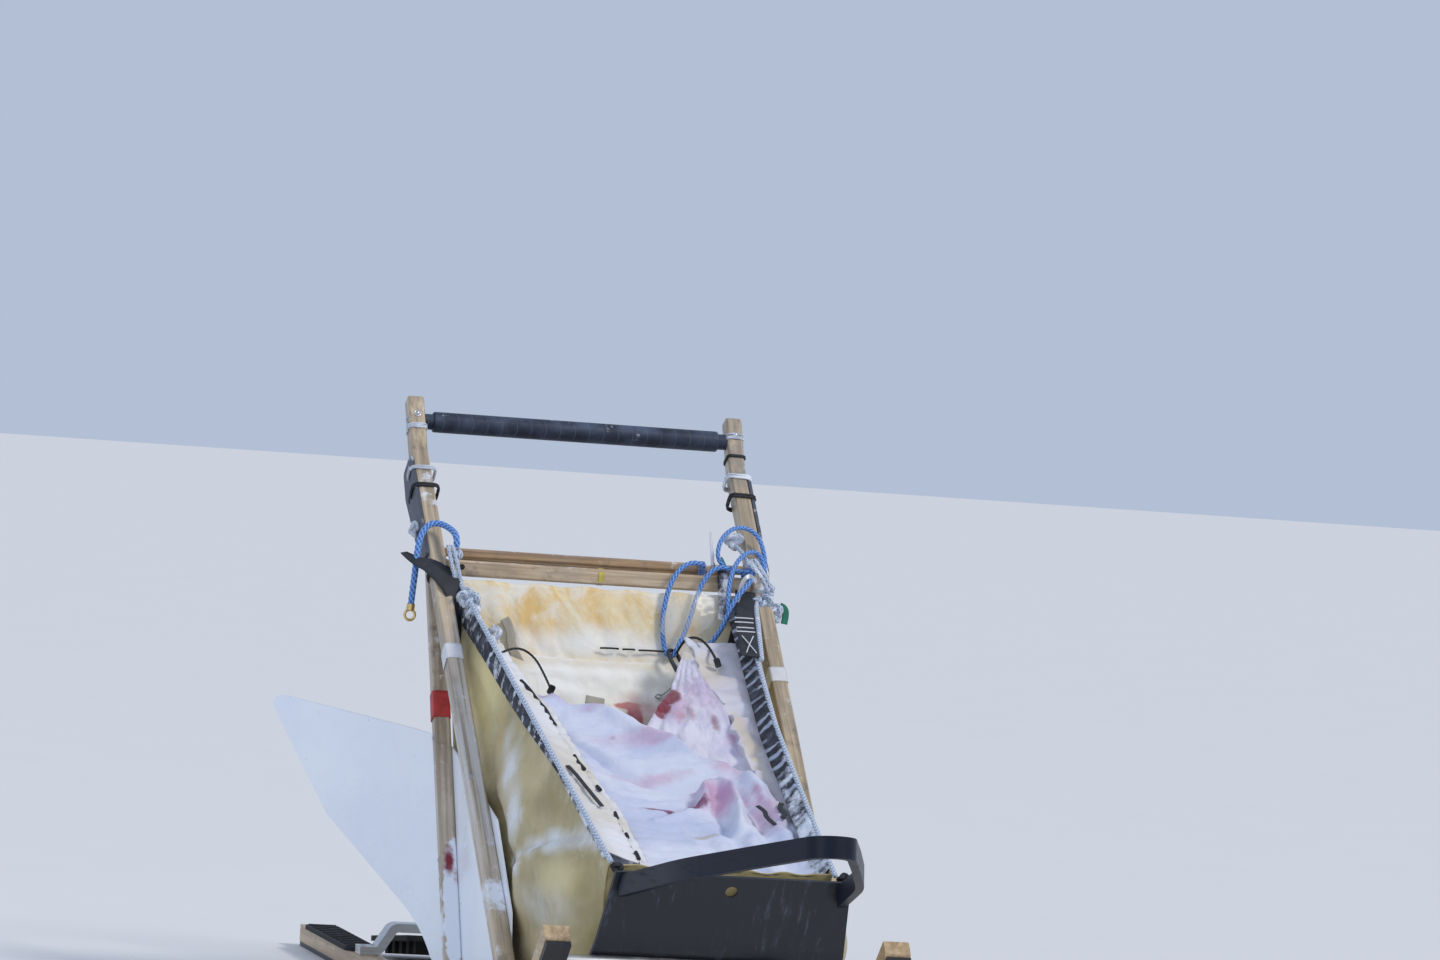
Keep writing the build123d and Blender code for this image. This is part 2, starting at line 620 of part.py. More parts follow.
# Side flaps, sewn inside the rims and hanging in towards each other
for name, sign, rows in (("side_flap_right", -1, SIDE_FLAP_RIGHT), ("side_flap_left", 1, SIDE_FLAP_LEFT)):
    lines = []
    for share, edge_x, edge_drop, sag in rows:
        rim = on_rim(share)
        seam = Vector(sign * (rim_half(share) - CLOTH - SEAT), rim.X, rim.Y - SIDE_SEAM_DROP)
        edge = Vector(edge_x, rim.X, rim.Y - edge_drop)
        inward = edge - seam
        down = Vector(sign * inward.Z, 0, -sign * inward.X).normalized()
        if down.Z > 0:
            down = down * -1
        lines.append(cloth_line([seam, edge], (seam + edge) * 0.5 + down * sag, Vector(0, 0, 1)))
    pieces[name] = Part(Solid.make_loft(lines, ruled=True).wrapped)

# Brush bow, a flat strip bent round in a tilted plane in front of the nose
bow_tilt = degrees(atan2(BOW_RISE, BOW_REACH))
bow_end = Vector(NOSE_Y, NOSE_TOP_Z) + nose_down * BOW_DROP
bow_base_y = bow_end.X - (BED_THICK / 2 + SEAT) / sin(radians(NOSE_ANGLE))
bow_half = NOSE_HALF - BOW_INSET
bow_length = sqrt(BOW_REACH ** 2 + BOW_RISE ** 2)
one_side = [(-bow_half * wide, -bow_length * far) for wide, far, bend in BOW_SHAPE]
other_side = [(-x, y) for x, y in reversed(one_side)]
bow_path = [(-bow_half, 0), *one_side, *other_side, (bow_half, 0)]
bow_bends = [bend for wide, far, bend in BOW_SHAPE]
bow_face = strip(bow_path, bow_bends + bow_bends[::-1], 0, BOW_THICK)
bow = extrude(bow_face, amount=BOW_TALL / 2, both=True)
bow = Pos(0, bow_base_y, bow_end.Y) * Rot(-bow_tilt, 0, 0) * bow
nose_keep = strip(bed_path, [NOSE_RADIUS], -BED_THICK / 2 - SEAT, NOSE_RADIUS * 0.75)
bow = bow - from_side(nose_keep, 0, 3 * NOSE_HALF)
pieces["brush_bow"] = bow

# Sign plate, a blank bent sheet tied inside the right leg and stanchion
sign_x = TRACK / 2 - LEG_WIDTH / 2 - SEAT
sign_out = direction(90 - SIGN_FLARE) * SIGN_LENGTH
sign_rear = (sign_x + sign_out.X, SIGN_BEND_Y + sign_out.Y)
sign_plan = strip([(sign_x, SIGN_FRONT_Y), (sign_x, SIGN_BEND_Y), sign_rear], [SIGN_BEND_R], 0, SIGN_THICK)
sign_side = make_face(Polyline(*SIGN_OUTLINE, close=True))
sign_side = fillet(sign_side.vertices(), SIGN_CORNER)
sign = leaned(extrude(sign_plan, amount=LEG_TOP_Z)) & from_side(sign_side, sign_x, 2 * SIGN_LENGTH)
pieces["sign_plate"] = mirrored(sign)

# Brake: two arms and a bar with claws, hung on pins in lugs behind the rear bridge
runner_in = TRACK / 2 - RUNNER_WIDTH / 2
lug_in = BRAKE_ARM[0] / 2 + LUG_PLAY
lug_y0 = BRIDGE_Y["rear"] + BRIDGE_WIDTH / 2
arm_run = Vector(BRAKE_BAR_Y - BRAKE_PIN_Y, BRAKE_BAR_Z - BRAKE_PIN_Z)
arm_slope = degrees(atan2(arm_run.Y, arm_run.X))
rear_bridge = pieces["bridge_rear"]
brake_bar_half = runner_in - BRAKE_BAR_GAP
bar = Pos(0, BRAKE_BAR_Y, BRAKE_BAR_Z) * Box(2 * brake_bar_half, BRAKE_BAR[0], BRAKE_BAR[1])
brake = fillet(bar.edges().filter_by(Axis.Z), 10)
for x in (-BRAKE_ARM_X, BRAKE_ARM_X):
    arm = Pos(0, arm_run.X / 2, arm_run.Y / 2) * Rot(arm_slope, 0, 0) * Box(BRAKE_ARM[0], arm_run.length, BRAKE_ARM[1] * 0.7)
    arm = Pos(x, BRAKE_PIN_Y, BRAKE_PIN_Z) * arm
    arm_half = BRAKE_ARM[0] / 2
    arm += rod((x - arm_half, BRAKE_PIN_Y, BRAKE_PIN_Z), (x + arm_half, BRAKE_PIN_Y, BRAKE_PIN_Z), BRAKE_ARM[1] / 2)
    arm -= rod((x - 2 * lug_in, BRAKE_PIN_Y, BRAKE_PIN_Z), (x + 2 * lug_in, BRAKE_PIN_Y, BRAKE_PIN_Z), BRAKE_PIN_R + PIN_FIT)
    brake += arm
    for s in (-1, 1):
        lug_x = x + s * (lug_in + LUG_THICK / 2)
        cheek = Pos(lug_x, (lug_y0 + BRAKE_PIN_Y) / 2, BRAKE_PIN_Z) * Box(LUG_THICK, BRAKE_PIN_Y - lug_y0, 2 * LUG_R)
        eye = rod((lug_x - LUG_THICK / 2, BRAKE_PIN_Y, BRAKE_PIN_Z), (lug_x + LUG_THICK / 2, BRAKE_PIN_Y, BRAKE_PIN_Z), LUG_R)
        rear_bridge = rear_bridge + cheek + eye
    reach = lug_in + LUG_THICK
    rear_bridge = rear_bridge + rod((x - reach, BRAKE_PIN_Y, BRAKE_PIN_Z), (x + reach, BRAKE_PIN_Y, BRAKE_PIN_Z), BRAKE_PIN_R)
for x in (-CLAW_X, CLAW_X):
    shank_end = CLAW_TIP_Z + CLAW_POINT
    shank = rod((x, BRAKE_BAR_Y, BRAKE_BAR_Z), (x, BRAKE_BAR_Y, shank_end), CLAW_R)
    point = Pos(x, BRAKE_BAR_Y, shank_end - CLAW_POINT / 2) * Rot(180, 0, 0) * Cone(CLAW_R, CLAW_R / 4, CLAW_POINT)
    brake += shank + point
pieces["brake"] = brake
pieces["bridge_rear"] = rear_bridge

# Drag mat: a rubber sheet with cross lugs, hung on pins behind the tail bridge
mat_half = runner_in - MAT_GAP
mat_drop = MAT_PIN_Z - MAT_LUG[1] - MAT_THICK / 2 - MAT_LUG_GAP
mat_slope = degrees(atan2(-mat_drop, sqrt(MAT_LENGTH ** 2 - mat_drop ** 2)))
sheet_length = MAT_LENGTH - MAT_SHEET_FROM
mat = Pos(0, MAT_SHEET_FROM + sheet_length / 2, 0) * Box(2 * mat_half, sheet_length, MAT_THICK)
mat = fillet(mat.edges().filter_by(Axis.Z), 16)
pitch = (sheet_length - 1.5 * MAT_SHEET_FROM) / MAT_ROWS
for i in range(MAT_ROWS):
    y = 2 * MAT_SHEET_FROM + pitch * (i + 0.5)
    for share in (-0.62, 0, 0.62):
        block = Box(mat_half * 0.5, MAT_LUG[0], MAT_LUG[1] + 2)
        mat += Pos(mat_half * share, y, 1 - MAT_THICK / 2 - MAT_LUG[1] / 2) * block
tail_bridge = pieces["bridge_tail"]
tail_y0 = BRIDGE_Y["tail"] + BRIDGE_WIDTH / 2
strap_half = MAT_STRAP_WIDTH / 2
for x in (-MAT_STRAP_X, MAT_STRAP_X):
    mat += Pos(x, MAT_SHEET_FROM, 0) * Box(MAT_STRAP_WIDTH, 2 * MAT_SHEET_FROM, MAT_THICK)
    mat += rod((x - strap_half, 0, 0), (x + strap_half, 0, 0), MAT_EYE_R)
    mat -= rod((x - 2 * strap_half, 0, 0), (x + 2 * strap_half, 0, 0), MAT_PIN_R + PIN_FIT)
    for s in (-1, 1):
        lug_x = x + s * (strap_half + LUG_PLAY + LUG_THICK / 2)
        cheek = Box(LUG_THICK, MAT_PIN_Y - tail_y0 + 2, 2.2 * LUG_R)
        cheek = Pos(lug_x, (tail_y0 + MAT_PIN_Y) / 2, (MAT_PIN_Z + deck_z) / 2) * cheek
        eye = rod((lug_x - LUG_THICK / 2, MAT_PIN_Y, MAT_PIN_Z), (lug_x + LUG_THICK / 2, MAT_PIN_Y, MAT_PIN_Z), LUG_R)
        tail_bridge = tail_bridge + cheek + eye
    reach = strap_half + LUG_THICK
    tail_bridge = tail_bridge + rod((x - reach, MAT_PIN_Y, MAT_PIN_Z), (x + reach, MAT_PIN_Y, MAT_PIN_Z), MAT_PIN_R)
pieces["drag_mat"] = Pos(0, MAT_PIN_Y, MAT_PIN_Z) * Rot(mat_slope, 0, 0) * mat
pieces["bridge_tail"] = tail_bridge

# Knots of the free ropes, in front of the lower crosspiece and beside the legs
knot_x = frame_x(KNOT_Z - KNOT[2] / 2) - LEG_WIDTH / 2 - SEAT - KNOT[0] / 2
knot_y = cross_front_y - SEAT - KNOT[1] / 2
knot = fillet(Box(*KNOT).edges(), KNOT_ROUND)
pieces["snub_knot_left"] = Pos(knot_x, knot_y, KNOT_Z) * knot
pieces["tie_knot_right"] = Pos(-knot_x, knot_y, KNOT_Z) * knot

# Band of rope round the upper crosspiece
upper = pieces["upper_crosspiece"].bounding_box()
band_out = Box(BAND_WIDTH, UPPER_CROSS[0] + 2 * (SEAT + BAND_THICK), UPPER_CROSS[1] + 2 * (SEAT + BAND_THICK))
band_out = fillet(band_out.edges().filter_by(Axis.X), BAND_THICK / 2)
band_in = Box(2 * BAND_WIDTH, UPPER_CROSS[0] + 2 * SEAT, UPPER_CROSS[1] + 2 * SEAT)
band_y = upper.center().Y
pieces["snub_band_left"] = Pos(BAND_X, band_y, upper_z) * (band_out - band_in)
band_front = band_y - UPPER_CROSS[0] / 2 - SEAT - BAND_THICK

# Snub rope: from its knot down through the carabiner and up again to the band
snub_points = [
    (knot_x - KNOT[0] / 2, -316.0, 703.0),
    (210.0, -316.0, 703.0),
    (194.0, -317.0, 709.0),
    (178.0, -317.0, 704.0),
    (163.0, -321.0, 687.0),
    (151.0, -328.0, 659.0),
    (141.0, -338.0, 628.0),
    (129.0, -351.0, 600.0),
    (117.0, -364.0, 580.0),
    (112.0, -363.0, 566.0),
    (104.0, -353.0, 566.0),
    (99.0, -348.0, 580.0),
    (96.0, -341.0, 604.0),
    (98.0, -333.0, 636.0),
    (104.0, -326.0, 662.0),
    (113.0, -319.0, 685.0),
    (127.0, -311.0, 703.0),
    (145.0, -304.0, 712.0),
    (161.0, -297.0, 711.0),
    (BAND_X, -290.0, upper_z + 2.0),
    (BAND_X, band_front, upper_z + 2.0),
]
pieces["snub_rope_left"] = rope(snub_points, SNUB_R, {})

# Carabiner hanging in the snub rope
snub_low = (Vector(*snub_points[9]) + Vector(*snub_points[10])) * 0.5
bar_dir = Vector(0.80, 0.60, 0).normalized()
hang = Vector(0.2, -0.6, -0.78)
hang = (hang - bar_dir * hang.dot(bar_dir)).normalized()
ring_top = snub_low + Vector(0, 0, SNUB_R + SEAT + CARABINER_WIRE + 1.0)
ring_plane = Plane(origin=ring_top + hang * CARABINER[0], x_dir=hang, z_dir=hang.cross(bar_dir))
ring_line = SlotOverall(2 * CARABINER[0], 2 * CARABINER[1]).wire()
ring_start = Plane(origin=ring_line @ 0, z_dir=ring_line % 0)
pieces["carabiner"] = ring_plane * sweep(ring_start * Circle(CARABINER_WIRE), path=ring_line)


def end_fitting(points, radius):
    """A whipped rope end with a small ring, past the last of the rope's points."""
    end = Vector(*points[-1])
    axis = (end - Vector(*points[-2])).normalized()
    whip = extrude(Plane(origin=end, z_dir=axis) * Circle(radius), amount=WHIP_LENGTH)
    middle = end + axis * (WHIP_LENGTH + RING_R * 0.9)
    ring_axis = axis.cross(Vector(1, 0, 0)).normalized()
    return whip + Plane(origin=middle, x_dir=axis, z_dir=ring_axis) * Torus(RING_R, RING_WIRE)


# Clip rope: from the same knot to a clip at the side flap's corner
clip_points = [
    (knot_x, knot_y - KNOT[1] / 2, 694.0),
    (knot_x, -343.0, 694.0),
    (224.0, -352.0, 681.0),
    (208.0, -358.0, 664.0),
    (197.0, -363.0, 643.0),
    (188.0, -367.0, 621.0),
    (177.0, -371.0, 602.0),
    (166.0, -374.0, 588.0),
]
pieces["clip_rope_left"] = rope(clip_points, SNUB_R, {})
pieces["rope_clip"] = end_fitting(clip_points, SNUB_R + 1.5)

# Tie rope: from its knot up over the right leg and down outside it, with a ring at its end
tie_points = [
    (-knot_x, knot_y, KNOT_Z + KNOT[2] / 2),
    (-knot_x, knot_y, 723.0),
    (-236.0, -305.0, 733.0),
    (-240.0, -290.0, 739.0),
    (-245.0, -278.0, 743.0),
    (-252.0, -269.0, 746.0),
    (-263.0, -267.0, 747.0),
    (-274.0, -271.0, 742.0),
    (-284.0, -279.0, 730.0),
    (-290.0, -288.0, 712.0),
    (-293.0, -296.0, 690.0),
    (-295.0, -300.0, 665.0),
    (-297.0, -302.0, 640.0),
    (-298.0, -302.0, 620.0),
]
pieces["tie_rope_right"] = rope(tie_points, TIE_R, {})
pieces["tie_ring"] = end_fitting(tie_points, TIE_R + 1.5)

# The origin is at the ground, under the middle of the whole sled's box
boxes = [shape.bounding_box() for shape in pieces.values()]
shift_x = -(min(b.min.X for b in boxes) + max(b.max.X for b in boxes)) / 2
shift_y = -(min(b.min.Y for b in boxes) + max(b.max.Y for b in boxes)) / 2
print("shift", round(shift_x, 3), round(shift_y, 3))
for name, shape in pieces.items():
    solids = shape.solids()
    b = shape.bounding_box()
    print(name, len(solids), [round(v, 1) for v in (*b.min, *b.max)])
    export_step(Pos(shift_x, shift_y, 0) * shape, "parts/" + name + ".step")
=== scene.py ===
from math import cos, pi, radians, sin

import bmesh
import bpy
import numpy as np
from mathutils import Matrix, Vector, noise


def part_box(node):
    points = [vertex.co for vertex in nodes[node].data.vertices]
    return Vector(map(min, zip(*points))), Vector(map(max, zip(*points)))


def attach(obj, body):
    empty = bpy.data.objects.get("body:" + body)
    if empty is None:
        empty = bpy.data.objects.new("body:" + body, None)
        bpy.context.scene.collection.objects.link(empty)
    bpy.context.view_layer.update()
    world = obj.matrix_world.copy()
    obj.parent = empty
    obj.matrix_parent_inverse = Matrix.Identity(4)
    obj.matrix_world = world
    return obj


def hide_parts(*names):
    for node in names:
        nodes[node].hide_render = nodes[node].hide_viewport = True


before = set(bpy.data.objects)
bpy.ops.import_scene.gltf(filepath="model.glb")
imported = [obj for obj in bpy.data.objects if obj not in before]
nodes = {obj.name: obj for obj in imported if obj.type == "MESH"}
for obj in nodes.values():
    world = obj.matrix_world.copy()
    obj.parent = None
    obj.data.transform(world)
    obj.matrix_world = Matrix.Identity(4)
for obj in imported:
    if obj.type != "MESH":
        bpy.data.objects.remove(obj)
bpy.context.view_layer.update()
scene = bpy.context.scene

# Places are given in the model's own millimetres: y is 0 under the handlebar, x is 0 on the middle plane
BED_REAR = 0.455
bed_low, bed_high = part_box("bed")
SHIFT = np.array([(bed_low[0] + bed_high[0]) / 2, bed_high[1] + BED_REAR, 0.0])


def place(points):
    """Model millimetres to the row frame, for one point or an array of them."""
    return np.asarray(points, float) / 1000 + SHIFT


def at(x, y, z):
    return Vector(place((x, y, z)))


def node_box(name):
    """Low and high corner of a CAD node, in model millimetres."""
    return [(np.array(corner) - SHIFT) * 1000 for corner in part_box(name)]


def link(name, data):
    obj = bpy.data.objects.new(name, data)
    scene.collection.objects.link(obj)
    return obj


# Camera at the photograph's place
CAMERA_AT = (-2257, -9586, 972)
YAW, PITCH, ROLL = radians(14.721), radians(-0.762), radians(4.097)
forward = Vector((sin(YAW) * cos(PITCH), cos(YAW) * cos(PITCH), sin(PITCH)))
level = Vector((cos(YAW), -sin(YAW), 0))
upward = level.cross(forward)
cam_right = level * cos(ROLL) + upward * sin(ROLL)
cam_up = upward * cos(ROLL) - level * sin(ROLL)
camera_data = bpy.data.cameras.new("camera")
camera_data.lens = 152.75
camera_data.sensor_width = 36
camera_data.clip_end = 200
camera = link("camera", camera_data)
turned = Matrix((cam_right, cam_up, -forward)).transposed().to_4x4()
camera.matrix_world = Matrix.Translation(at(*CAMERA_AT)) @ turned
scene.camera = camera

# Materials by name
M = {}
RIME = (0.80, 0.83, 0.90)


def tone(colour, share):
    """A darker or lighter colour."""
    return [min(1, v * share) for v in colour]


class Paint:
    """One procedural material, built node by node."""

    def __init__(self, name, rough=0.6, **fixed):
        self.name = name
        self.mat = bpy.data.materials.new(name)
        self.mat.use_nodes = True
        self.tree = self.mat.node_tree
        self.shader = self.tree.nodes["Principled BSDF"]
        self.shader.inputs["Roughness"].default_value = rough
        for key, value in fixed.items():
            self.shader.inputs[key.replace("_", " ")].default_value = value
        self.here = self.make("TexCoord", "Object")
        self.uv = self.make("TexCoord", "UV")
        self.normal = None

    def put(self, socket, value):
        if isinstance(value, bpy.types.NodeSocket):
            self.tree.links.new(value, socket)
        elif value is not None:
            if socket.type == "RGBA" and len(value) == 3:
                value = (*value, 1)
            socket.default_value = value

    def make(self, kind, output, inputs=None, **props):
        """A new node with these inputs; gives one of its outputs."""
        n = self.tree.nodes.new("ShaderNode" + kind)
        for key, value in props.items():
            setattr(n, key, value)
        for key, value in (inputs or {}).items():
            self.put(n.inputs[key], value)
        return n.outputs[output]

    def move(self, scale, turn=(0, 0, 0)):
        """The place, turned and then scaled."""
        turned = self.make("Mapping", 0, {"Vector": self.here, "Rotation": turn})
        return self.make("VectorMath", 0, {0: turned, 1: scale}, operation="MULTIPLY")

    def noise(self, scale, detail=4, rough=0.55, source=None, distort=0.0):
        inputs = {"Vector": source or self.here, "Scale": scale, "Detail": detail}
        return self.make("TexNoise", "Fac", {**inputs, "Roughness": rough, "Distortion": distort})

    def span(self, value, low, high, to_low=0.0, to_high=1.0):
        """A smooth step from to_low, where the value is low, to to_high, where it is high."""
        inputs = {"Value": value, "From Min": low, "From Max": high, "To Min": to_low, "To Max": to_high}
        return self.make("MapRange", "Result", inputs, interpolation_type="SMOOTHSTEP")

    def math(self, operation, *values):
        return self.make("Math", 0, dict(enumerate(values)), operation=operation)

    def plus(self, a, b):
        return self.math("ADD", a, b)

    def times(self, a, b):
        return self.math("MULTIPLY", a, b)

    def mix(self, share, a, b):
        return self.make("Mix", 2, {0: share, 6: a, 7: b}, data_type="RGBA")

    def greys(self, share, a, b):
        return self.mix(share, (a, a, a), (b, b, b))

    def clouds(self, colour, tint, scale, low, high, most=1.0, detail=5, rough=0.6, distort=0.0):
        """Mixes a tint in where a noise is high."""
        share = self.span(self.noise(scale, detail, rough, None, distort), low, high, 0, most)
        return self.mix(share, colour, tint)

    def part(self, axis, source=None):
        return self.make("SeparateXYZ", "XYZ".index(axis), {0: source or self.here})

    def facing(self, axis="Z"):
        return self.part(axis, self.make("NewGeometry", "Normal"))

    def blob(self, centre, size, wobble=0.35, grain=60, soft=0.45):
        """1 inside an uneven patch about a place, 0 outside."""
        away = self.make("VectorMath", 0, {0: self.here, 1: at(*centre)}, operation="SUBTRACT")
        over = self.make("VectorMath", 0, {0: away, 1: [v / 1000 for v in size]}, operation="DIVIDE")
        far = self.make("VectorMath", "Value", {0: over}, operation="LENGTH")
        uneven = self.math("MULTIPLY_ADD", self.noise(grain, 5, 0.6), 2 * wobble, -wobble)
        return self.span(self.plus(far, uneven), 1.0, 1.0 - soft)

    def patch(self, colour, tint, much, *blob):
        """Mixes a tint in at an uneven patch."""
        return self.mix(self.times(self.blob(*blob), much), colour, tint)

    def bump(self, height, strength, distance):
        inputs = {"Strength": strength, "Distance": distance, "Height": height, "Normal": self.normal}
        self.normal = self.make("Bump", "Normal", inputs)

    def frost(self, colour, amount, scale=14, tint=RIME, up=0.0, where=None):
        """Lays white rime over a colour, thicker on faces that look up."""
        cover = self.plus(self.noise(scale, 7, 0.68), amount)
        if up:
            cover = self.plus(cover, self.times(self.facing(), up))
        if where is not None:
            cover = self.plus(cover, where)
        self.rime = self.span(cover, 0.58, 0.74)
        self.bump(self.times(self.rime, self.noise(scale * 16, 4, 0.6)), 0.5, 0.0015)
        return self.mix(self.rime, colour, tint)

    def done(self, colour, rough=None):
        for key, value in (("Base Color", colour), ("Roughness", rough), ("Normal", self.normal)):
            self.put(self.shader.inputs[key], value)
        M[self.name] = self.mat


def wood(name, dark, light, slope, frosted, marks=(), spots=(), film=None, up=0.0):
    """Varnished wood. Its grain rises at that slope in side view, or runs along X for None."""
    turn = (0, 0, 0) if slope is None else (radians(-slope), 0, radians(-90))
    p = Paint(name, 0.45, Coat_Weight=0.25, Coat_Roughness=0.3)
    grain = p.noise(3, 5, 0.6, p.move((1.6, 22, 22), turn), 0.4)
    pores = p.noise(3, 3, 0.6, p.move((6, 160, 160), turn))
    streaks = p.noise(3, 4, 0.6, p.move((1, 48, 48), turn))
    colour = p.mix(p.span(grain, 0.3, 0.7), dark, light)
    colour = p.mix(p.span(pores, 0.56, 0.75, 0, 0.55), colour, tone(dark, 0.55))
    colour = p.mix(p.span(streaks, 0.52, 0.64, 0, 0.55), colour, tone(dark, 0.8))
    colour = p.mix(p.span(streaks, 0.46, 0.36, 0, 0.4), colour, tone(light, 1.2))
    colour = p.clouds(colour, (0.24, 0.21, 0.19), 5, 0.5, 0.68, 0.6)
    colour = p.clouds(colour, (0.16, 0.13, 0.11), 16, 0.55, 0.68, 0.55, 5, 0.7, 0.5)
    colour = p.clouds(colour, (0.75, 0.68, 0.58), 38, 0.62, 0.7, 0.7, 4, 0.7)
    if film:
        veil = p.times(p.blob(*film), p.span(streaks, 0.60, 0.40, 0.1, 0.75))
        colour = p.mix(veil, colour, (0.62, 0.62, 0.65))
    where = None
    for centre, size, much in marks:
        spot = p.times(p.blob(centre, size), much)
        where = spot if where is None else p.plus(where, spot)
    p.bump(grain, 0.25, 0.0006)
    p.bump(pores, 0.2, 0.0004)
    colour = p.frost(colour, frosted, 17, up=up, where=where)
    for tint, centre, size in spots:
        colour = p.patch(colour, tint, 1, centre, size, 0.5, 40)
    p.done(colour, p.greys(p.rime, 0.42, 0.8))


def black_plastic(name, base, scuff, frosted, stretch, bare=0.42, **fixed):
    p = Paint(name, bare, **fixed)
    lines = p.noise(9, 6, 0.75, p.move(stretch))
    marks = p.span(lines, 0.52, 0.75)
    colour = p.mix(p.times(marks, p.span(p.noise(7, 5, 0.6), 0.4, 0.7)), base, scuff)
    p.bump(lines, 0.3, 0.0005)
    colour = p.frost(colour, frosted, 24, up=0.05)
    p.done(colour, p.greys(p.math("MAXIMUM", p.rime, p.times(marks, 0.6)), bare, 0.85))


def metal(name, base, rough, stretch, frosted=-0.3):
    p = Paint(name, rough, Metallic=1.0)
    lines = p.noise(8, 5, 0.7, p.move(stretch))
    colour = p.mix(p.span(lines, 0.35, 0.7), base, tone(base, 1.25))
    dirt = p.span(p.noise(11, 6, 0.7), 0.52, 0.72)
    colour = p.mix(p.times(dirt, 0.6), colour, tone(base, 0.35))
    p.bump(lines, 0.2, 0.0003)
    colour = p.frost(colour, frosted, 22)
    p.done(colour, p.greys(p.math("MAXIMUM", dirt, p.rime), rough, 0.75))


def rope_paint(name, base, crest_highlight, frosted):
    """Braided rope. Its u runs along the rope in pitches, its v once round it. The grooves between strands
    are darkened as painted shade, and the crests of one strand set are lightened as a painted highlight.
    """
    p = Paint(name, 0.7, Sheen_Weight=0.2)
    u, v = p.part("X", p.uv), p.times(p.part("Y", p.uv), 4)
    one, two = (p.math("SINE", p.times(p.math(way, u, v), 2 * pi)) for way in ("ADD", "SUBTRACT"))
    # Painted shade: the colour drops to 0.45 of the base in the grooves between strands
    colour = p.mix(p.span(p.math("MAXIMUM", one, two), -0.2, 0.6), tone(base, 0.45), base)
    # Painted highlight: the crests of one strand set take the lighter colour
    colour = p.mix(p.times(p.span(one, 0.86, 0.98), 0.8), colour, crest_highlight)
    p.bump(p.noise(900, 2, 0.5), 0.35, 0.0004)
    p.done(p.frost(colour, frosted, 30))


def cloth_bumps(p):
    p.bump(p.noise(700, 3, 0.6), 0.25, 0.0005)
    p.bump(p.noise(34, 5, 0.62, None, 0.8), 0.45, 0.004)


def bag_inside_paint():
    """The back wall's cloth: pale gold inside, clouded with rime in streaks, and olive outside."""
    p = Paint("bag_cloth_inside", 0.66, Sheen_Weight=0.15)
    streaks = p.noise(4, 5, 0.62, p.move((5, 1, 1.6), (0, 0.5, 0)), 0.7)
    inside = p.mix(p.span(streaks, 0.36, 0.6), (0.76, 0.50, 0.19), (0.84, 0.72, 0.46))
    inside = p.clouds(inside, (0.84, 0.80, 0.72), 13, 0.42, 0.66, 0.85, 6, 0.66, 0.8)
    inside = p.patch(inside, (0.92, 0.90, 0.86), 0.85, (0, -345, 575), (320, 60, 42), 0.4, 14, 0.9)
    cloth_bumps(p)
    inside = p.frost(inside, -0.06, 12, (0.88, 0.87, 0.86))
    outside = p.clouds((0.36, 0.31, 0.16), (0.62, 0.55, 0.33), 5, 0.35, 0.68, 1, 4)
    outside = p.frost(outside, -0.05, 11)
    p.done(p.mix(p.span(p.facing("Y"), -0.1, 0.3), inside, outside))


# Painted light and shade on the bag's outside: lighter yellow patches for lit bulges and highlights, darker
# brown ones for shade in and under its folds. Columns: centre, size, colour, strength
BAG_PAINTED_LIGHT_AND_SHADE = [
    ((-226, -540, 500), (60, 150, 110), (0.86, 0.72, 0.34), 0.9),
    ((-226, -640, 452), (60, 34, 60), (0.62, 0.42, 0.18), 0.6),
    ((-222, -960, 365), (60, 190, 28), (0.30, 0.235, 0.09), 0.65),
    ((-226, -670, 360), (60, 50, 70), (0.26, 0.17, 0.07), 0.7),
    ((-224, -820, 268), (60, 22, 30), (0.22, 0.15, 0.07), 0.85),
    ((-222, -930, 254), (60, 60, 22), (0.40, 0.29, 0.11), 0.7),
    ((-215, -1060, 270), (60, 90, 46), (0.78, 0.68, 0.36), 0.6),
]
# Thin frost on the bag: centre, size, strength
BAG_FILM = [
    ((-228, -690, 440), (60, 44, 56), 0.45),
    ((-228, -735, 400), (60, 58, 60), 0.85),
    ((-228, -790, 335), (60, 60, 66), 0.95),
    ((-225, -860, 272), (60, 60, 30), 1.0),
    ((-222, -925, 300), (60, 66, 27), 1.0),
    ((-215, -1000, 318), (60, 90, 26), 1.0),
    ((-200, -1110, 334), (60, 110, 26), 1.0),
    ((-210, -1000, 225), (60, 190, 45), 0.5),
    ((225, -1010, 190), (60, 230, 70), 0.6),
    ((225, -640, 260), (60, 130, 110), 0.5),
]


def bag_paint():
    p = Paint("bag_cloth", 0.62, Sheen_Weight=0.15)
    colour = p.clouds((0.34, 0.275, 0.12), (0.56, 0.46, 0.235), 5, 0.35, 0.68, 1, 4)
    colour = p.clouds(colour, (0.66, 0.60, 0.42), 21, 0.5, 0.72, 0.4, 5, 0.7, 0.6)
    cloth_bumps(p)
    # Lays painted light and shade: lighter and darker patches at the bag's bulges and folds
    for centre, size, tint, much in BAG_PAINTED_LIGHT_AND_SHADE:
        colour = p.patch(colour, tint, much, centre, size, 0.4, 9, 0.9)
    grain = p.span(p.noise(24, 5, 0.6), 0.25, 0.6, 0.35, 1)
    for centre, size, much in BAG_FILM:
        film = p.times(p.blob(centre, size, 0.35, 8, 0.95), grain)
        colour = p.mix(p.times(film, much), colour, (0.78, 0.80, 0.83))
    where = p.times(p.blob((-222, -820, 320), (60, 140, 120), 0.4, 9), 0.09)
    p.done(p.frost(colour, -0.05, 16, (0.80, 0.82, 0.86), where=where))


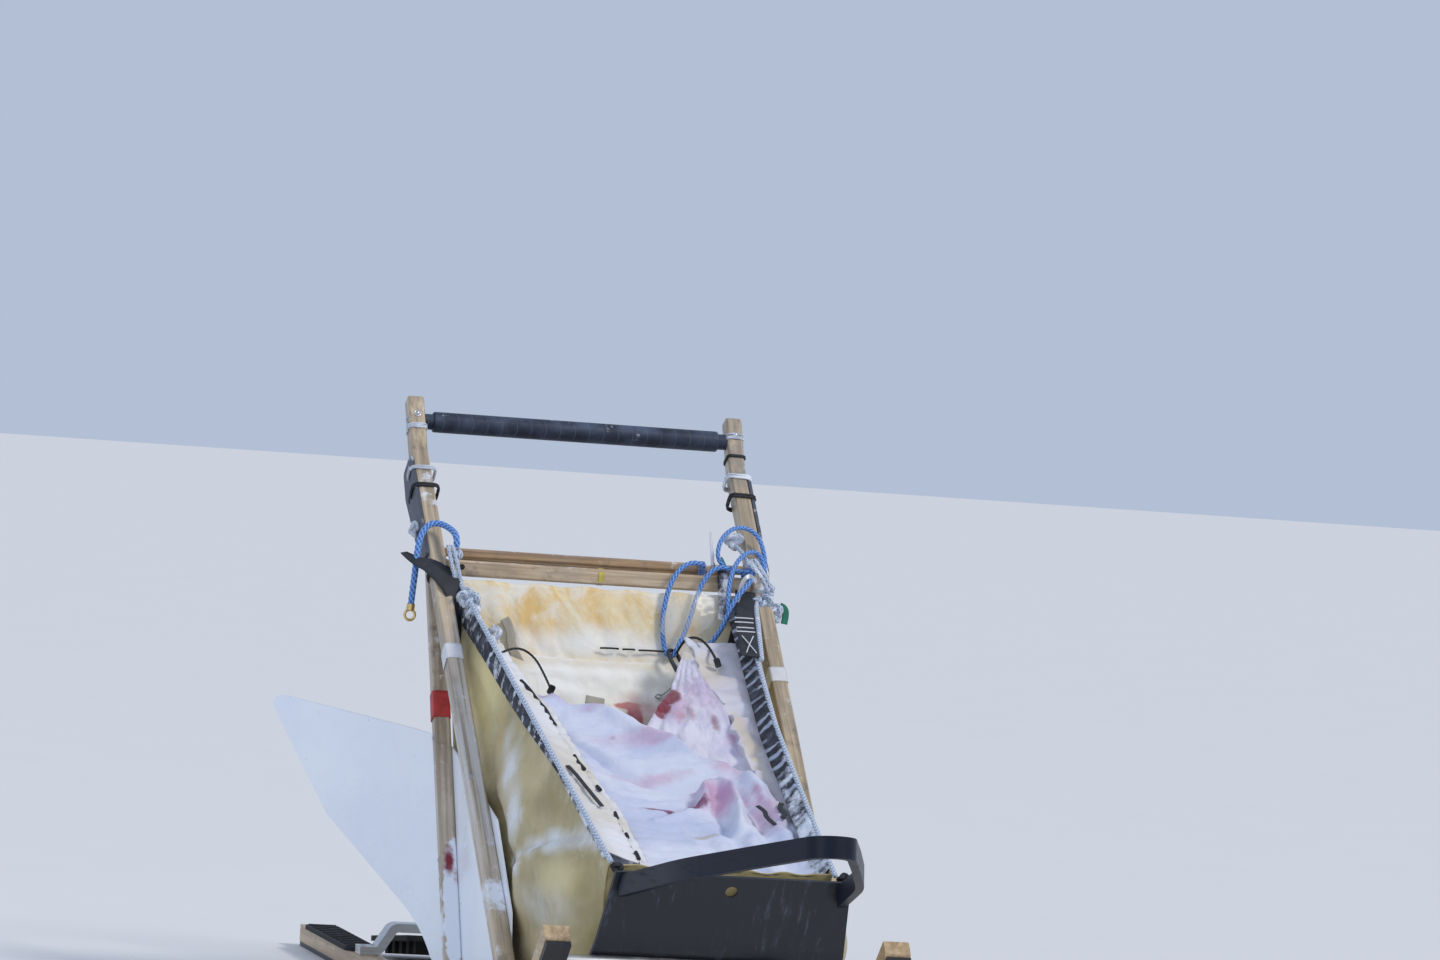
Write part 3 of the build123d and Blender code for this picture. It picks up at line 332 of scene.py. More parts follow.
def flap_paint(name, ground, shade, stains_and_fold_shade):
    """White cloth with faint stains, and painted shade along some folds: each mark has a place, a size, a
    colour, a strength and a grain.
    """
    p = Paint(name, 0.7, Sheen_Weight=0.2)
    colour = p.clouds(ground, shade, 9, 0.38, 0.66, 1, 5, 0.6, 0.5)
    colour = p.clouds(colour, (0.72, 0.60, 0.66), 46, 0.6, 0.74, 0.35, 6, 0.75)
    colour = p.clouds(colour, (0.30, 0.16, 0.20), 240, 0.76, 0.8, 0.6, 2, 0.5)
    # Each mark is a stain, or painted shade where it follows a fold
    for centre, size, tint, much, grain in stains_and_fold_shade:
        soft = 0.35 if much >= 0.8 else 0.8
        colour = p.patch(colour, tint, much, centre, size, 0.5, grain, soft)
    cloth_bumps(p)
    p.done(colour)


def web_paint(name, rung, frosted, slant, short, rung_colour, light_part):
    """Black webbing. Its u runs along it in rungs."""
    p = Paint(name, 0.75)
    u, v = p.part("X", p.uv), p.part("Y", p.uv)
    jitter = p.times(p.noise(14, 2), 1.6)
    saw = p.math("FRACT", p.plus(p.plus(u, jitter), p.times(v, slant)))
    line = p.times(p.span(saw, 0.0, 0.12), p.span(saw, light_part, light_part - 0.12))
    patchy = p.span(p.noise(16, 5, 0.6), rung, rung + 0.22)
    across = p.span(p.noise(90, 3, 0.6, None, 0.8), short - 0.12, short - 0.04)
    colour = p.clouds((0.016, 0.018, 0.026), (0.065, 0.072, 0.10), 60, 0.4, 0.7, 1, 4)
    colour = p.mix(p.times(line, p.times(patchy, across)), colour, rung_colour)
    p.bump(p.math("SINE", p.times(u, 2 * pi * 9)), 0.3, 0.0004)
    p.bump(p.noise(500, 2, 0.5), 0.3, 0.0004)
    ahead = p.span(p.part("Y"), -0.12, -0.52, 0, 0.17)
    p.done(p.frost(colour, frosted, 19, where=ahead))


def grip_paint():
    """Rubber tape wound in a slant, worn smooth and filmed with rime; the bluish film on upward faces is also
    a painted sheen of the sky.
    """
    p = Paint("grip_rubber", 0.5, Specular_IOR_Level=0.3)
    turns = p.math("FRACT", p.plus(p.times(p.part("X"), 42), p.times(p.part("Y"), 16)))
    colour = p.clouds((0.015, 0.020, 0.034), (0.038, 0.050, 0.082), 25, 0.35, 0.7)
    colour = p.mix(p.span(turns, 0.10, 0.0, 0, 0.25), colour, (0.20, 0.22, 0.27))
    # The bluish film on faces that look up is thin rime and a painted sheen of the sky
    film = p.times(p.span(p.noise(14, 6, 0.62), 0.42, 0.68), p.span(p.facing(), -0.3, 0.9))
    colour = p.mix(p.times(film, 0.4), colour, (0.15, 0.20, 0.32))
    p.bump(p.times(p.span(turns, 0.0, 0.1), p.span(turns, 1.0, 0.6)), 0.22, 0.0008)
    p.bump(p.noise(420, 2, 0.5), 0.3, 0.0005)
    p.done(p.frost(colour, -0.06, 20, up=0.05))


def sign_paint():
    """Blank white sheet plastic: faint clouds and scratches."""
    p = Paint("sign_plastic", 0.32, Coat_Weight=0.1, Subsurface_Weight=0.05)
    colour = p.clouds((0.93, 0.95, 0.99), (0.85, 0.88, 0.96), 4, 0.35, 0.7, 1, 4)
    lines = p.noise(7, 6, 0.8, p.move((3, 2, 26), (0.5, 0, 0)))
    colour = p.mix(p.span(lines, 0.66, 0.76, 0, 0.4), colour, (0.52, 0.55, 0.62))
    colour = p.clouds(colour, (0.45, 0.44, 0.44), 60, 0.66, 0.74, 0.35, 4, 0.7)
    p.bump(lines, 0.15, 0.0004)
    p.done(colour, p.span(p.noise(12, 4, 0.6), 0.3, 0.7, 0.25, 0.5))


def plain(name, colour, rough=0.7, spread=0.35, frosted=-0.05, **fixed):
    """Tape, strap or cord of one colour, uneven and a little frosted."""
    p = Paint(name, rough, **fixed)
    tint = p.clouds(tone(colour, 1 - spread), colour, 40, 0.35, 0.7, 1, 4)
    p.bump(p.noise(500, 2, 0.5), 0.3, 0.0004)
    p.done(p.frost(tint, frosted, 26))


# Frost on the legs: centre, size, strength
LEG_MARKS = [
    ((-250, -530, 170), (18, 90, 175), 0.34),
    ((-252, -826, 212), (30, 60, 60), 0.20),
    ((252, -850, 190), (30, 60, 60), 0.20),
    ((-252, -560, 120), (40, 60, 60), 0.16),
    ((-262, -180, 745), (40, 60, 60), 0.10),
    ((262, -300, 640), (40, 60, 60), 0.12),
]
LEG_FILM = ((-252, -620, 390), (40, 420, 380), 0.5, 22, 0.8)
# Spots on the stanchion: colour, centre, size
SPOTS = [
    ((0.22, 0.015, 0.03), (-254, -492, 232), (13, 30, 36)),
    ((0.28, 0.02, 0.03), (-243, -500, 212), (10, 20, 24)),
]
wood("leg_ash", (0.30, 0.23, 0.155), (0.60, 0.48, 0.33), 41.4, -0.015, LEG_MARKS, film=LEG_FILM)
wood("stanchion_ash", (0.33, 0.26, 0.19), (0.60, 0.50, 0.38), 63.1, -0.02, LEG_MARKS, SPOTS)
wood("runner_ash", (0.38, 0.25, 0.13), (0.60, 0.43, 0.24), 0, -0.12)
wood("crosspiece_wood", (0.42, 0.29, 0.17), (0.72, 0.57, 0.40), None, -0.05, up=0.07)
wood("crosspiece_dark", (0.24, 0.15, 0.085), (0.52, 0.34, 0.18), None, -0.04, up=0.10)
black_plastic("bed_plastic", (0.012, 0.014, 0.020), (0.16, 0.18, 0.24), -0.12, (9, 0.7, 2))
black_plastic(
    "bow_plastic", (0.004, 0.007, 0.018), (0.035, 0.05, 0.11), -0.19, (1.2, 1.2, 16), 0.38,
    Specular_IOR_Level=0.25,
)
black_plastic("plate_plastic", (0.065, 0.074, 0.10), (0.30, 0.34, 0.44), 0.01, (3, 3, 3), 0.55)
black_plastic("shoe_plastic", (0.014, 0.014, 0.016), (0.14, 0.14, 0.15), -0.12, (14, 0.6, 2))
black_plastic("tread_rubber", (0.010, 0.010, 0.012), (0.06, 0.06, 0.065), -0.10, (4, 4, 4), 0.75)
black_plastic("mat_rubber", (0.012, 0.012, 0.013), (0.07, 0.07, 0.075), -0.10, (5, 3, 3), 0.78)
metal("bridge_metal", (0.55, 0.56, 0.58), 0.38, (1.5, 24, 24))
metal("brake_steel", (0.36, 0.37, 0.39), 0.42, (3, 9, 9))
metal("clip_metal", (0.07, 0.07, 0.08), 0.42, (9, 9, 9), -0.16)
metal("ring_brass", (0.66, 0.48, 0.20), 0.30, (9, 9, 9), -0.2)
metal("bolt_metal", (0.50, 0.50, 0.52), 0.35, (20, 20, 20))
rope_paint("blue_rope", (0.085, 0.25, 0.66), (0.50, 0.67, 0.95), -0.09)
rope_paint("pale_rope", (0.50, 0.58, 0.72), (0.84, 0.88, 0.94), 0.04)
web_paint("webbing_plain", 0.38, 0.01, 0.35, 0.58, (0.66, 0.69, 0.76), 0.50)
web_paint("webbing_ladder", 0.32, -0.02, 0.14, 0.38, (0.40, 0.45, 0.56), 0.38)
bag_paint()
bag_inside_paint()
grip_paint()
sign_paint()
plain("black_strap", (0.030, 0.032, 0.040), frosted=-0.06)
plain("black_cord", (0.020, 0.021, 0.026), frosted=-0.1)
plain("white_tape", (0.74, 0.75, 0.78), 0.5, 0.1)
plain("red_tape", (0.55, 0.05, 0.05), 0.5, 0.3)
plain("yellow_tape", (0.70, 0.58, 0.10), 0.5, 0.3)
plain("green_tape", (0.02, 0.22, 0.14), 0.6, 0.3)
plain("rime_knot", (0.62, 0.66, 0.74), 0.85, 0.3, 0.12)
plain("grey_web", (0.50, 0.46, 0.38), 0.8, 0.25, 0.0)
plain("hook_grey", (0.62, 0.62, 0.66), 0.4, 0.3, -0.02, Metallic=0.6)
plain("frosted_strap", (0.030, 0.032, 0.045), frosted=0.19)
plain("clear_film", (0.86, 0.84, 0.80), 0.16, 0.1, -0.06, Alpha=0.16)

PINK = (0.55, 0.27, 0.42)
# Rose is laid only as painted shade along the big flap's free edge
FOLD_SHADE_ROSE = (0.50, 0.34, 0.50)
CRIMSON = (0.20, 0.006, 0.022)
BEIGE = (0.66, 0.55, 0.36)
# On the big flap, the thin rose and dark pink lines along the free edge's roll (y -640 to -880) and in the
# creases at y -815, -838 and -912 are painted shade of the folds; the other pink, brown and beige marks are
# stains.
flap_paint("flap_cloth_big", (0.67, 0.69, 0.80), (0.52, 0.56, 0.74), [
    ((-113, -600, 508), (90, 34, 40), PINK, 0.45, 40),
    ((10, -712, 460), (140, 30, 40), PINK, 0.50, 40),
    ((100, -800, 420), (46, 60, 60), PINK, 0.60, 50),
    ((-30, -815, 412), (90, 16, 60), PINK, 0.45, 50),
    ((60, -890, 385), (56, 60, 60), (0.55, 0.22, 0.40), 0.65, 60),
    ((-8, -912, 372), (54, 8, 60), (0.19, 0.04, 0.11), 0.95, 60),
    ((11, -1014, 334), (30, 14, 60), (0.34, 0.24, 0.10), 0.55, 60),
    ((120, -950, 365), (30, 90, 80), PINK, 0.6, 60),
    ((-60, -700, 470), (9, 7, 30), CRIMSON, 0.7, 200),
    ((-60, -640, 492), (60, 9, 20), FOLD_SHADE_ROSE, 0.6, 60),
    ((20, -728, 458), (60, 9, 20), FOLD_SHADE_ROSE, 0.6, 60),
    ((84, -778, 436), (40, 10, 20), (0.50, 0.30, 0.46), 0.6, 60),
    ((30, -838, 412), (90, 6, 20), (0.48, 0.24, 0.38), 0.6, 60),
    ((118, -880, 396), (9, 60, 20), (0.46, 0.20, 0.34), 0.6, 60),
    ((-150, -820, 430), (22, 300, 90), BEIGE, 0.35, 40),
    ((-120, -1060, 330), (26, 120, 90), BEIGE, 0.45, 40),
])
flap_paint("flap_cloth_small", (0.68, 0.67, 0.74), (0.60, 0.55, 0.62), [
    ((130, -500, 560), (40, 80, 60), BEIGE, 0.55, 40),
    ((146, -720, 455), (16, 240, 90), BEIGE, 0.6, 50),
    ((140, -1000, 340), (34, 90, 60), PINK, 0.5, 60),
])
flap_paint("flap_cloth_pleat", (0.74, 0.71, 0.80), (0.56, 0.50, 0.68), [
    ((60, -560, 500), (60, 80, 60), PINK, 0.5, 40),
    ((120, -560, 515), (40, 110, 60), (0.60, 0.44, 0.60), 0.55, 40),
    ((112, -450, 572), (30, 26, 20), BEIGE, 0.6, 60),
    ((62, -536, 512), (20, 44, 20), CRIMSON, 0.9, 30),
    ((48, -562, 500), (15, 36, 18), CRIMSON, 0.95, 30),
    ((40, -585, 490), (9, 26, 14), (0.20, 0.01, 0.02), 0.9, 60),
    ((66, -600, 484), (14, 40, 16), (0.50, 0.20, 0.24), 0.6, 60),
    ((92, -502, 530), (10, 12, 10), CRIMSON, 0.9, 60),
    ((84, -600, 490), (10, 50, 20), CRIMSON, 0.45, 90),
    ((112, -640, 480), (9, 50, 20), CRIMSON, 0.6, 90),
    ((128, -690, 462), (10, 40, 20), (0.30, 0.05, 0.14), 0.5, 90),
])
flap_paint("lining_cloth", (0.92, 0.90, 0.86), (0.86, 0.80, 0.68), [
    ((46, -410, 466), (17, 30, 30), (0.36, 0.015, 0.03), 0.95, 40),
    ((38, -395, 486), (26, 20, 7), (0.50, 0.06, 0.07), 0.85, 60),
    ((60, -400, 476), (44, 40, 34), (0.74, 0.34, 0.34), 0.5, 40),
    ((56, -383, 486), (60, 20, 30), (0.80, 0.45, 0.40), 0.5, 40),
    ((-20, -360, 548), (200, 20, 12), (0.66, 0.50, 0.26), 0.35, 60),
    ((-150, -350, 560), (60, 30, 60), (0.70, 0.54, 0.26), 0.5, 40),
])
flap_paint("hem_cloth", (0.76, 0.75, 0.78), (0.66, 0.61, 0.54), [
    ((-150, -900, 410), (30, 300, 90), (0.62, 0.55, 0.42), 0.3, 60),
    ((-190, -560, 540), (30, 120, 60), (0.80, 0.80, 0.84), 0.8, 40),
])

# The CAD nodes' paints, by the start of their names
NODE_PAINT = {
    "runner_": "runner_ash", "runner_shoe_": "shoe_plastic", "foot_tread_": "tread_rubber",
    "leg_": "leg_ash", "stanchion_": "stanchion_ash", "bridge_": "bridge_metal", "nose_bar": "bridge_metal",
    "bed": "bed_plastic", "brush_bow": "bow_plastic", "back_plate_": "plate_plastic",
    "upper_crosspiece": "crosspiece_dark", "lower_crosspiece": "crosspiece_wood", "handlebar": "grip_rubber",
    "sign_plate": "sign_plastic", "brake": "brake_steel", "drag_mat": "mat_rubber",
    "carabiner": "clip_metal", "rope_clip": "clip_metal", "tie_ring": "ring_brass",
}
for name, node in nodes.items():
    key = max((k for k in NODE_PAINT if name.startswith(k)), key=len, default=None)
    if key:
        node.data.materials.clear()
        node.data.materials.append(M[NODE_PAINT[key]])


def show(name, mesh, paint, replaces=None):
    """A smooth mesh in the row frame as a piece that rides on the sled."""
    mesh.polygons.foreach_set("use_smooth", [True] * len(mesh.polygons))
    mesh.materials.append(M[paint])
    mesh.update()
    obj = link(name, mesh)
    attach(obj, "sled")
    if replaces:
        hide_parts(replaces)
    return obj


def piece(name, parts, paint, replaces=None):
    """A piece from its vertices, its faces and one (u, v) for each vertex."""
    verts, faces, uvs = parts
    mesh = bpy.data.meshes.new(name)
    mesh.from_pydata([tuple(v) for v in verts], [], faces)
    layer = mesh.uv_layers.new(name="UVMap")
    index = np.zeros(len(mesh.loops), np.int32)
    mesh.loops.foreach_get("vertex_index", index)
    layer.data.foreach_set("uv", np.asarray(uvs, np.float32)[index].ravel())
    return show(name, mesh, paint, replaces)


def join(parts):
    """Several (verts, faces, uvs) as one."""
    faces, base = [], 0
    for verts, part_faces, uvs in parts:
        faces += [tuple(i + base for i in face) for face in part_faces]
        base += len(verts)
    return np.concatenate([p[0] for p in parts]), faces, np.concatenate([p[2] for p in parts])


def bands(rows, ring, closed=False):
    """Faces of a tube between rings of vertices."""
    faces = []
    for i in range(rows if closed else rows - 1):
        j = (i + 1) % rows
        for k in range(ring):
            m = (k + 1) % ring
            faces.append((i * ring + k, i * ring + m, j * ring + m, j * ring + k))
    return faces


def round_mesh(verts, rows, ring):
    """Rings of vertices from a tip down, as a mesh whose faces look outwards; its uvs aren't used."""
    return verts, [(a, d, c, b) for a, b, c, d in bands(rows, ring)], np.zeros((len(verts), 2))


def resample(path, step):
    """The path at even steps, and how far along it each point is."""
    runs = np.linalg.norm(np.diff(path, axis=0), axis=1)
    reach = np.concatenate([[0], np.cumsum(runs)])
    count = max(3, int(round(reach[-1] / step)) + 1)
    want = np.linspace(0, reach[-1], count)
    return np.stack([np.interp(want, reach, path[:, i]) for i in range(3)], axis=1), want


def frames_on(path, closed):
    """Two cross directions at each point, carried along without twist."""
    along = np.roll(path, -1, 0) - np.roll(path, 1, 0) if closed else np.gradient(path, axis=0)
    along /= np.linalg.norm(along, axis=1)[:, None]
    first = np.cross(along[0], [0.3, 0.2, 0.93])
    sides = [first / np.linalg.norm(first)]
    for t in along[1:]:
        s = sides[-1] - t * np.dot(sides[-1], t)
        sides.append(s / np.linalg.norm(s))
    return np.array(sides), np.cross(along, sides)


def tube_mesh(path, radius, ring, turns=0, pitch=0.009, depth=0.14, step=0.0015, closed=False):
    """A tube along a path in the row frame, with a braid of that many strands each way if turns is set."""
    path, reach = resample(path, step)
    if closed:
        path, reach = path[:-1], reach[:-1]
    a, b = frames_on(path, closed)
    angle = np.linspace(0, 2 * pi, ring, endpoint=False)
    u = reach / pitch
    rows = len(path)
    r = np.full((rows, ring), radius)
    if turns:
        spin = turns * angle[None, :]
        weave = np.maximum(np.sin(2 * pi * u[:, None] + spin), np.sin(2 * pi * u[:, None] - spin))
        r = r * (1 + depth * (weave - 0.7))
    c, s = np.cos(angle)[None, :, None], np.sin(angle)[None, :, None]
    verts = path[:, None, :] + r[:, :, None] * (c * a[:, None, :] + s * b[:, None, :])
    uvs = np.stack([np.repeat(u, ring), np.tile(angle / (2 * pi), rows)], axis=1)
    faces = bands(rows, ring, closed)
    if not closed:
        faces += [tuple(range(ring))[::-1], tuple(range((rows - 1) * ring, rows * ring))]
    return verts.reshape(-1, 3), faces, uvs


def route(points):
    """Points of a smooth NURBS line with these control points, in the row frame."""
    curve = bpy.data.curves.new("route", "CURVE")
    curve.dimensions = "3D"
    curve.resolution_u = 14
    spline = curve.splines.new("NURBS")
    spline.points.add(len(points) - 1)
    for point, p in zip(spline.points, points):
        point.co = (*at(*p), 1)
    spline.order_u = 3
    spline.use_endpoint_u = True
    obj = bpy.data.objects.new("route", curve)
    mesh = bpy.data.meshes.new_from_object(obj)
    line = np.array([v.co for v in mesh.vertices])
    bpy.data.objects.remove(obj)
    bpy.data.curves.remove(curve)
    bpy.data.meshes.remove(mesh)
    return line


# Free ropes on the CAD's routes: each starts where it is held
SNUB = [
    (225.3, -316, 703), (210, -316, 703), (194, -317, 709), (178, -317, 704), (163, -321, 687),
    (151, -328, 659), (141, -338, 628), (129, -351, 600), (117, -364, 580), (112, -363, 566),
    (104, -353, 566), (99, -348, 580), (96, -341, 604), (98, -333, 636), (104, -326, 662),
    (113, -319, 685), (127, -311, 703), (145, -304, 712), (161, -297, 711), (170, -290, 705),
    (170, -278.3, 705),
]
CLIP = [
    (235.3, -331.4, 694), (235.3, -343, 694), (224, -352, 681), (208, -358, 664),
    (197, -363, 643), (188, -367, 621), (177, -371, 602), (166, -374, 588),
]
TIE = [
    (-235.3, -316.4, 712), (-235.3, -316.4, 723), (-236, -305, 733), (-240, -290, 739), (-245, -278, 743),
    (-252, -269, 746), (-263, -267, 747), (-274, -271, 742), (-284, -279, 730), (-290, -288, 712),
    (-293, -296, 690), (-295, -300, 665), (-297, -302, 640), (-298, -302, 620),
]
for name, points, radius, length, far_end, fitting in (
    ("snub_rope_left", SNUB, 0.0040, 0.433, "object", "carabiner"),
    ("clip_rope_left", CLIP, 0.0040, 0.1425, "fitting", "rope_clip"),
    ("tie_rope_right", TIE, 0.0050, 0.2227, "fitting", "tie_ring"),
):
    line = route(points)
    braid = tube_mesh(line, radius, 20, 4, 0.009, 0.12, 0.0012)
    rope = piece(name + "_braid", braid, "blue_rope", name)


def net(first, rows, second, cols):
    """Two values over a grid: one runs down its rows and the other across them."""
    return np.meshgrid(np.linspace(*first, rows), np.linspace(*second, cols), indexing="ij")


def unit(value):
    return np.clip(value, 0, 1)


def bell(value, centre, width):
    return np.exp(-(((value - centre) / width) ** 2))


def table(rows, share, width=0.02):
    """Each column of a table of rows, whose first is the share, at these shares; its corners are rounded."""
    rows = np.array(rows, float)
    fine = np.linspace(-0.2, 1.2, 281)
    kernel = np.exp(-(np.linspace(-3, 3, 1 + 2 * int(3 * width / 0.005)) ** 2) / 2)
    kernel /= kernel.sum()
    steps = np.linspace(0, 1, 201)
    columns = []
    for values in rows.T[1:]:
        run = np.pad(np.interp(fine, rows[:, 0], values), len(kernel) // 2, mode="edge")
        rounded = np.interp(steps, fine, np.convolve(run, kernel, "valid"))
        columns.append(np.interp(share, steps, rounded))
    return columns


def cloud(points, scale, seed=0.0, octaves=3):
    """Fractal noise from about -1 to 1 at points in millimetres."""
    flat = np.asarray(points, float).reshape(-1, 3) * scale + seed
    out = [noise.fractal(Vector(p), 0.8, 2.1, octaves) for p in flat]
    return np.array(out).reshape(np.asarray(points).shape[:-1])


def ridges(flat, rows):
    """Height of soft ridges, or creases where it is negative, from rows of line, width and height."""
    total = 0
    for line, width, height in rows:
        line = np.array(line, float)
        best = np.full(flat.shape[:-1], np.inf)
        for p, q in zip(line[:-1], line[1:]):
            d = q - p
            t = unit(((flat - p) @ d) / (d @ d))
            best = np.minimum(best, np.linalg.norm(flat - (p + t[..., None] * d), axis=-1))
        total = total + height * bell(best, 0, width)
    return total


def shell(grid, thick):
    """A closed cloth of that thickness, in mm, round a grid of points in model mm."""
    normal = np.cross(np.gradient(grid, axis=0), np.gradient(grid, axis=1))
    normal /= np.linalg.norm(normal, axis=-1)[..., None] + 1e-9
    rows, cols = grid.shape[:2]
    top, low = (place(grid + side * normal * thick / 2).reshape(-1, 3) for side in (1, -1))
    u, v = net((0, 1), rows, (0, 1), cols)
    uvs = np.stack([u.ravel(), v.ravel()], axis=1)
    n = rows * cols
    faces = []
    for i in range(rows - 1):
        for j in range(cols - 1):
            a, b = i * cols + j, i * cols + j + 1
            c, d = a + cols, b + cols
            faces.append((a, c, d, b))
            faces.append((a + n, b + n, d + n, c + n))
    rim = [i * cols for i in range(rows)]
    rim += [(rows - 1) * cols + j for j in range(1, cols)]
    rim += [i * cols + cols - 1 for i in range(rows - 2, -1, -1)]
    rim += [j for j in range(cols - 2, 0, -1)]
    for a, b in zip(rim, rim[1:] + rim[:1]):
        faces.append((b, a, a + n, b + n))
    return np.concatenate([top, low]), faces, np.concatenate([uvs, uvs])


def cloth(name, grid, thick, paint, replaces=None, rungs=1.0):
    """A piece of cloth; rungs is what its u counts up to."""
    verts, faces, uvs = shell(grid, thick)
    uvs[:, 0] *= rungs
    return piece(name, (verts, faces, uvs), paint, replaces)


RIM_REAR, RIM_FRONT = np.array([-308.1, 664.0]), np.array([-1210.0, 306.0])
RIM_HALF, RIM_TAPER = 222.0, 54.0
HEM = 40.0
BULGE_AT = 0.45
CLOTH_HALF = 1.5
BAG_THICK = 2.4


def rim_at(share, sign=-1):
    """y and z of a rim. The sled's left rim, with sign 1, sags a little."""
    share = np.asarray(share, float)
    y, z = (rear + (front - rear) * share for rear, front in zip(RIM_REAR, RIM_FRONT))
    if sign > 0:
        z = z - 8.0 * np.sin(pi * unit(share))
    return y, z


def rim_half(share, sign=-1):
    """Half the width at a rim. The worn cloth leans to the sled's right."""
    share = np.asarray(share, float)
    lean = -17.0 * unit((share - 0.06) / 0.42) if sign > 0 else 12.0
    return RIM_HALF - RIM_TAPER * share + lean


# Bag: share along the rim, then y and z of the foot, half widths of the foot and the bulge
BAG = [
    (0.00, -478, 95.3, 200, 230),
    (0.34, -700, 95.3, 206, 224),
    (0.66, -1009.2, 95.3, 208, 226),
    (0.84, -1116.6, 127.1, 188, 214),
    (1.00, -1180, 193.9, 160, 172),
]
# Soft folds of the bag's side on the sled's right, in y and z: line, width and height
SIDE_FOLDS = [
    ([(-430, 559), (-529, 517), (-649, 463), (-703, 425), (-760, 360)], 16, 5),
    ([(-470, 520), (-560, 470), (-625, 373), (-700, 330), (-805, 270)], 16, -6),
    ([(-626, 516), (-780, 477), (-916, 441), (-1083, 404)], 13, -5),
    ([(-600, 480), (-740, 430), (-880, 395), (-1040, 372)], 15, 5),
]
# The crease above the bag's belly: -y and z
BELLY_CREASE = ([780, 841, 920, 1028, 1148, 1210], [240, 265, 301, 322, 338, 345])


def bag_wall(share, rise, sign):
    """Points of a side wall. rise is 0 at the foot and 1 at the rim."""
    foot_y, foot_z, base, bulge = table(BAG, share)
    rim_y, rim_z = rim_at(share, sign)
    height = np.hypot(rim_y - foot_y, rim_z - foot_z)
    bend = unit(rise * height / (height - HEM))
    k = BULGE_AT
    x = base * (bend - k) * (bend - 1) / k + bulge * bend * (1 - bend) / (k * (1 - k))
    x = x + rim_half(share, sign) * bend * (bend - k) / (1 - k)
    y, z = foot_y + (rim_y - foot_y) * rise, foot_z + (rim_z - foot_z) * rise
    return np.stack([sign * (x - CLOTH_HALF), y, z], axis=-1)


def bag_side(sign):
    share, rise = net((0, 1), 150, (0, 1), 80)
    grid = bag_wall(share, rise, sign)
    x, y, z = np.moveaxis(grid, -1, 0)
    slack = np.sin(pi * unit(rise * 1.02)) * unit(share * 9) * unit((1 - share) * 9)
    folds = 7.0 * cloud(grid * (1, 0.6, 1.5), 0.008, 3.0 + sign)
    waves = np.sin((z + 0.22 * y) / 13.0 + 1.4 * cloud(grid, 0.006, 9.0))
    folds += bell(rise, 0.24, 0.16) * (4.0 * waves - 1.0) * unit((share - 0.2) * 4)
    slant = np.sin((y - 0.9 * z) / 17.0 + 2.0 * cloud(grid, 0.005, 5.0))
    folds += 2.2 * slant * bell(rise, 0.7, 0.25)
    under = np.interp(-y, *BELLY_CREASE) - z + 3 * cloud(grid, 0.01, 1.0)
    belly = unit(under / 9) ** 0.7 * bell(under, 0, 75) * unit((-y - 800) / 60)
    folds = folds * (1 - 0.6 * belly) + 12.0 * belly + 6.0 * belly * unit((-y - 900) / 80)
    if sign < 0:
        folds += ridges(grid[..., 1:], SIDE_FOLDS)
    x += sign * np.clip(folds, -12, 17) * slack
    return grid if sign > 0 else grid[:, ::-1]


def bag_floor():
    share, across = net((0, 1), 90, (-1, 1), 40)
    foot_y, foot_z, base, bulge = table(BAG, share)
    return np.stack([(base - CLOTH_HALF) * across, foot_y, foot_z + CLOTH_HALF], axis=-1)[:, ::-1]


def bag_end(share, slide, ripple):
    """The back wall (share 0) or the front wall (share 1)."""
    rise, across = net((0, 1), 90, (-1, 1), 120)
    left, right = (bag_wall(np.full_like(rise, share), rise, side) for side in (1, -1))
    grid = right + (left - right) * ((across + 1) / 2)[..., None]
    x, y, z = np.moveaxis(grid, -1, 0)
    y += slide
    free = (1 - across**4) * np.sin(pi * unit(rise * 0.93 + 0.02)) ** 0.6
    waves = np.sin(x / 15.0 + 2.5 * cloud(grid * (1, 1, 0.4), 0.008, 2.0))
    y -= np.abs(waves + cloud(grid * (1, 1, 0.5), 0.02, 7.0)) * ripple * free
    z -= np.where(rise > 0.97, 2.0 * (1 + np.sin(across * 19)) * (1 - across**4), 0)
    return grid if share else grid[:, ::-1]


walls = [bag_side(1), bag_side(-1), bag_floor(), bag_end(1.0, 2.0, 2.0)]
bag = piece("bag_shell", join([shell(wall, BAG_THICK) for wall in walls]), "bag_cloth", "bag")
grid = bag_end(0.0, -2.0, 4.5)
back_wall = cloth("bag_back_wall", grid, BAG_THICK, "bag_cloth_inside")

# Lining from the back wall to the nose: share, y and z of its middle, half width, rise at the sides
LINING = [
    (0.00, -345.5, 560.0, 184.0, 8.0),
    (0.20, -462.0, 340.0, 186.0, 24.0),
    (0.40, -620.0, 170.0, 188.0, 34.0),
    (0.57, -820.0, 99.8, 188.0, 40.0),
    (0.75, -1000.0, 118.0, 178.0, 34.0),
    (0.90, -1100.0, 176.0, 160.0, 24.0),
    (1.00, -1146.0, 226.0, 148.0, 12.0),
]
share, across = net((0, 1), 170, (-1, 1), 90)
line_y, line_z, half, rise = table(LINING, share)
grid = np.stack([half * across, line_y, line_z + rise * across**2], axis=-1)
x, y, z = np.moveaxis(grid, -1, 0)
wrinkle = np.clip(cloud(grid * (0.5, 1, 1.6), 0.016, 4.0), -0.6, 1) + 0.4 * cloud(grid, 0.05, 1.0)
free = unit(share * 14) * unit((1 - share) * 8)
y -= 7.0 * (wrinkle + 0.7) * free * np.clip(1 - share * 1.8, 0.1, 1)
z += 5.0 * (wrinkle + 0.7) * free
y -= 7.0 * bell(z, 530, 6) * free
lining = cloth("lining_cloth", grid, 2.2, "lining_cloth", "cover_flap")

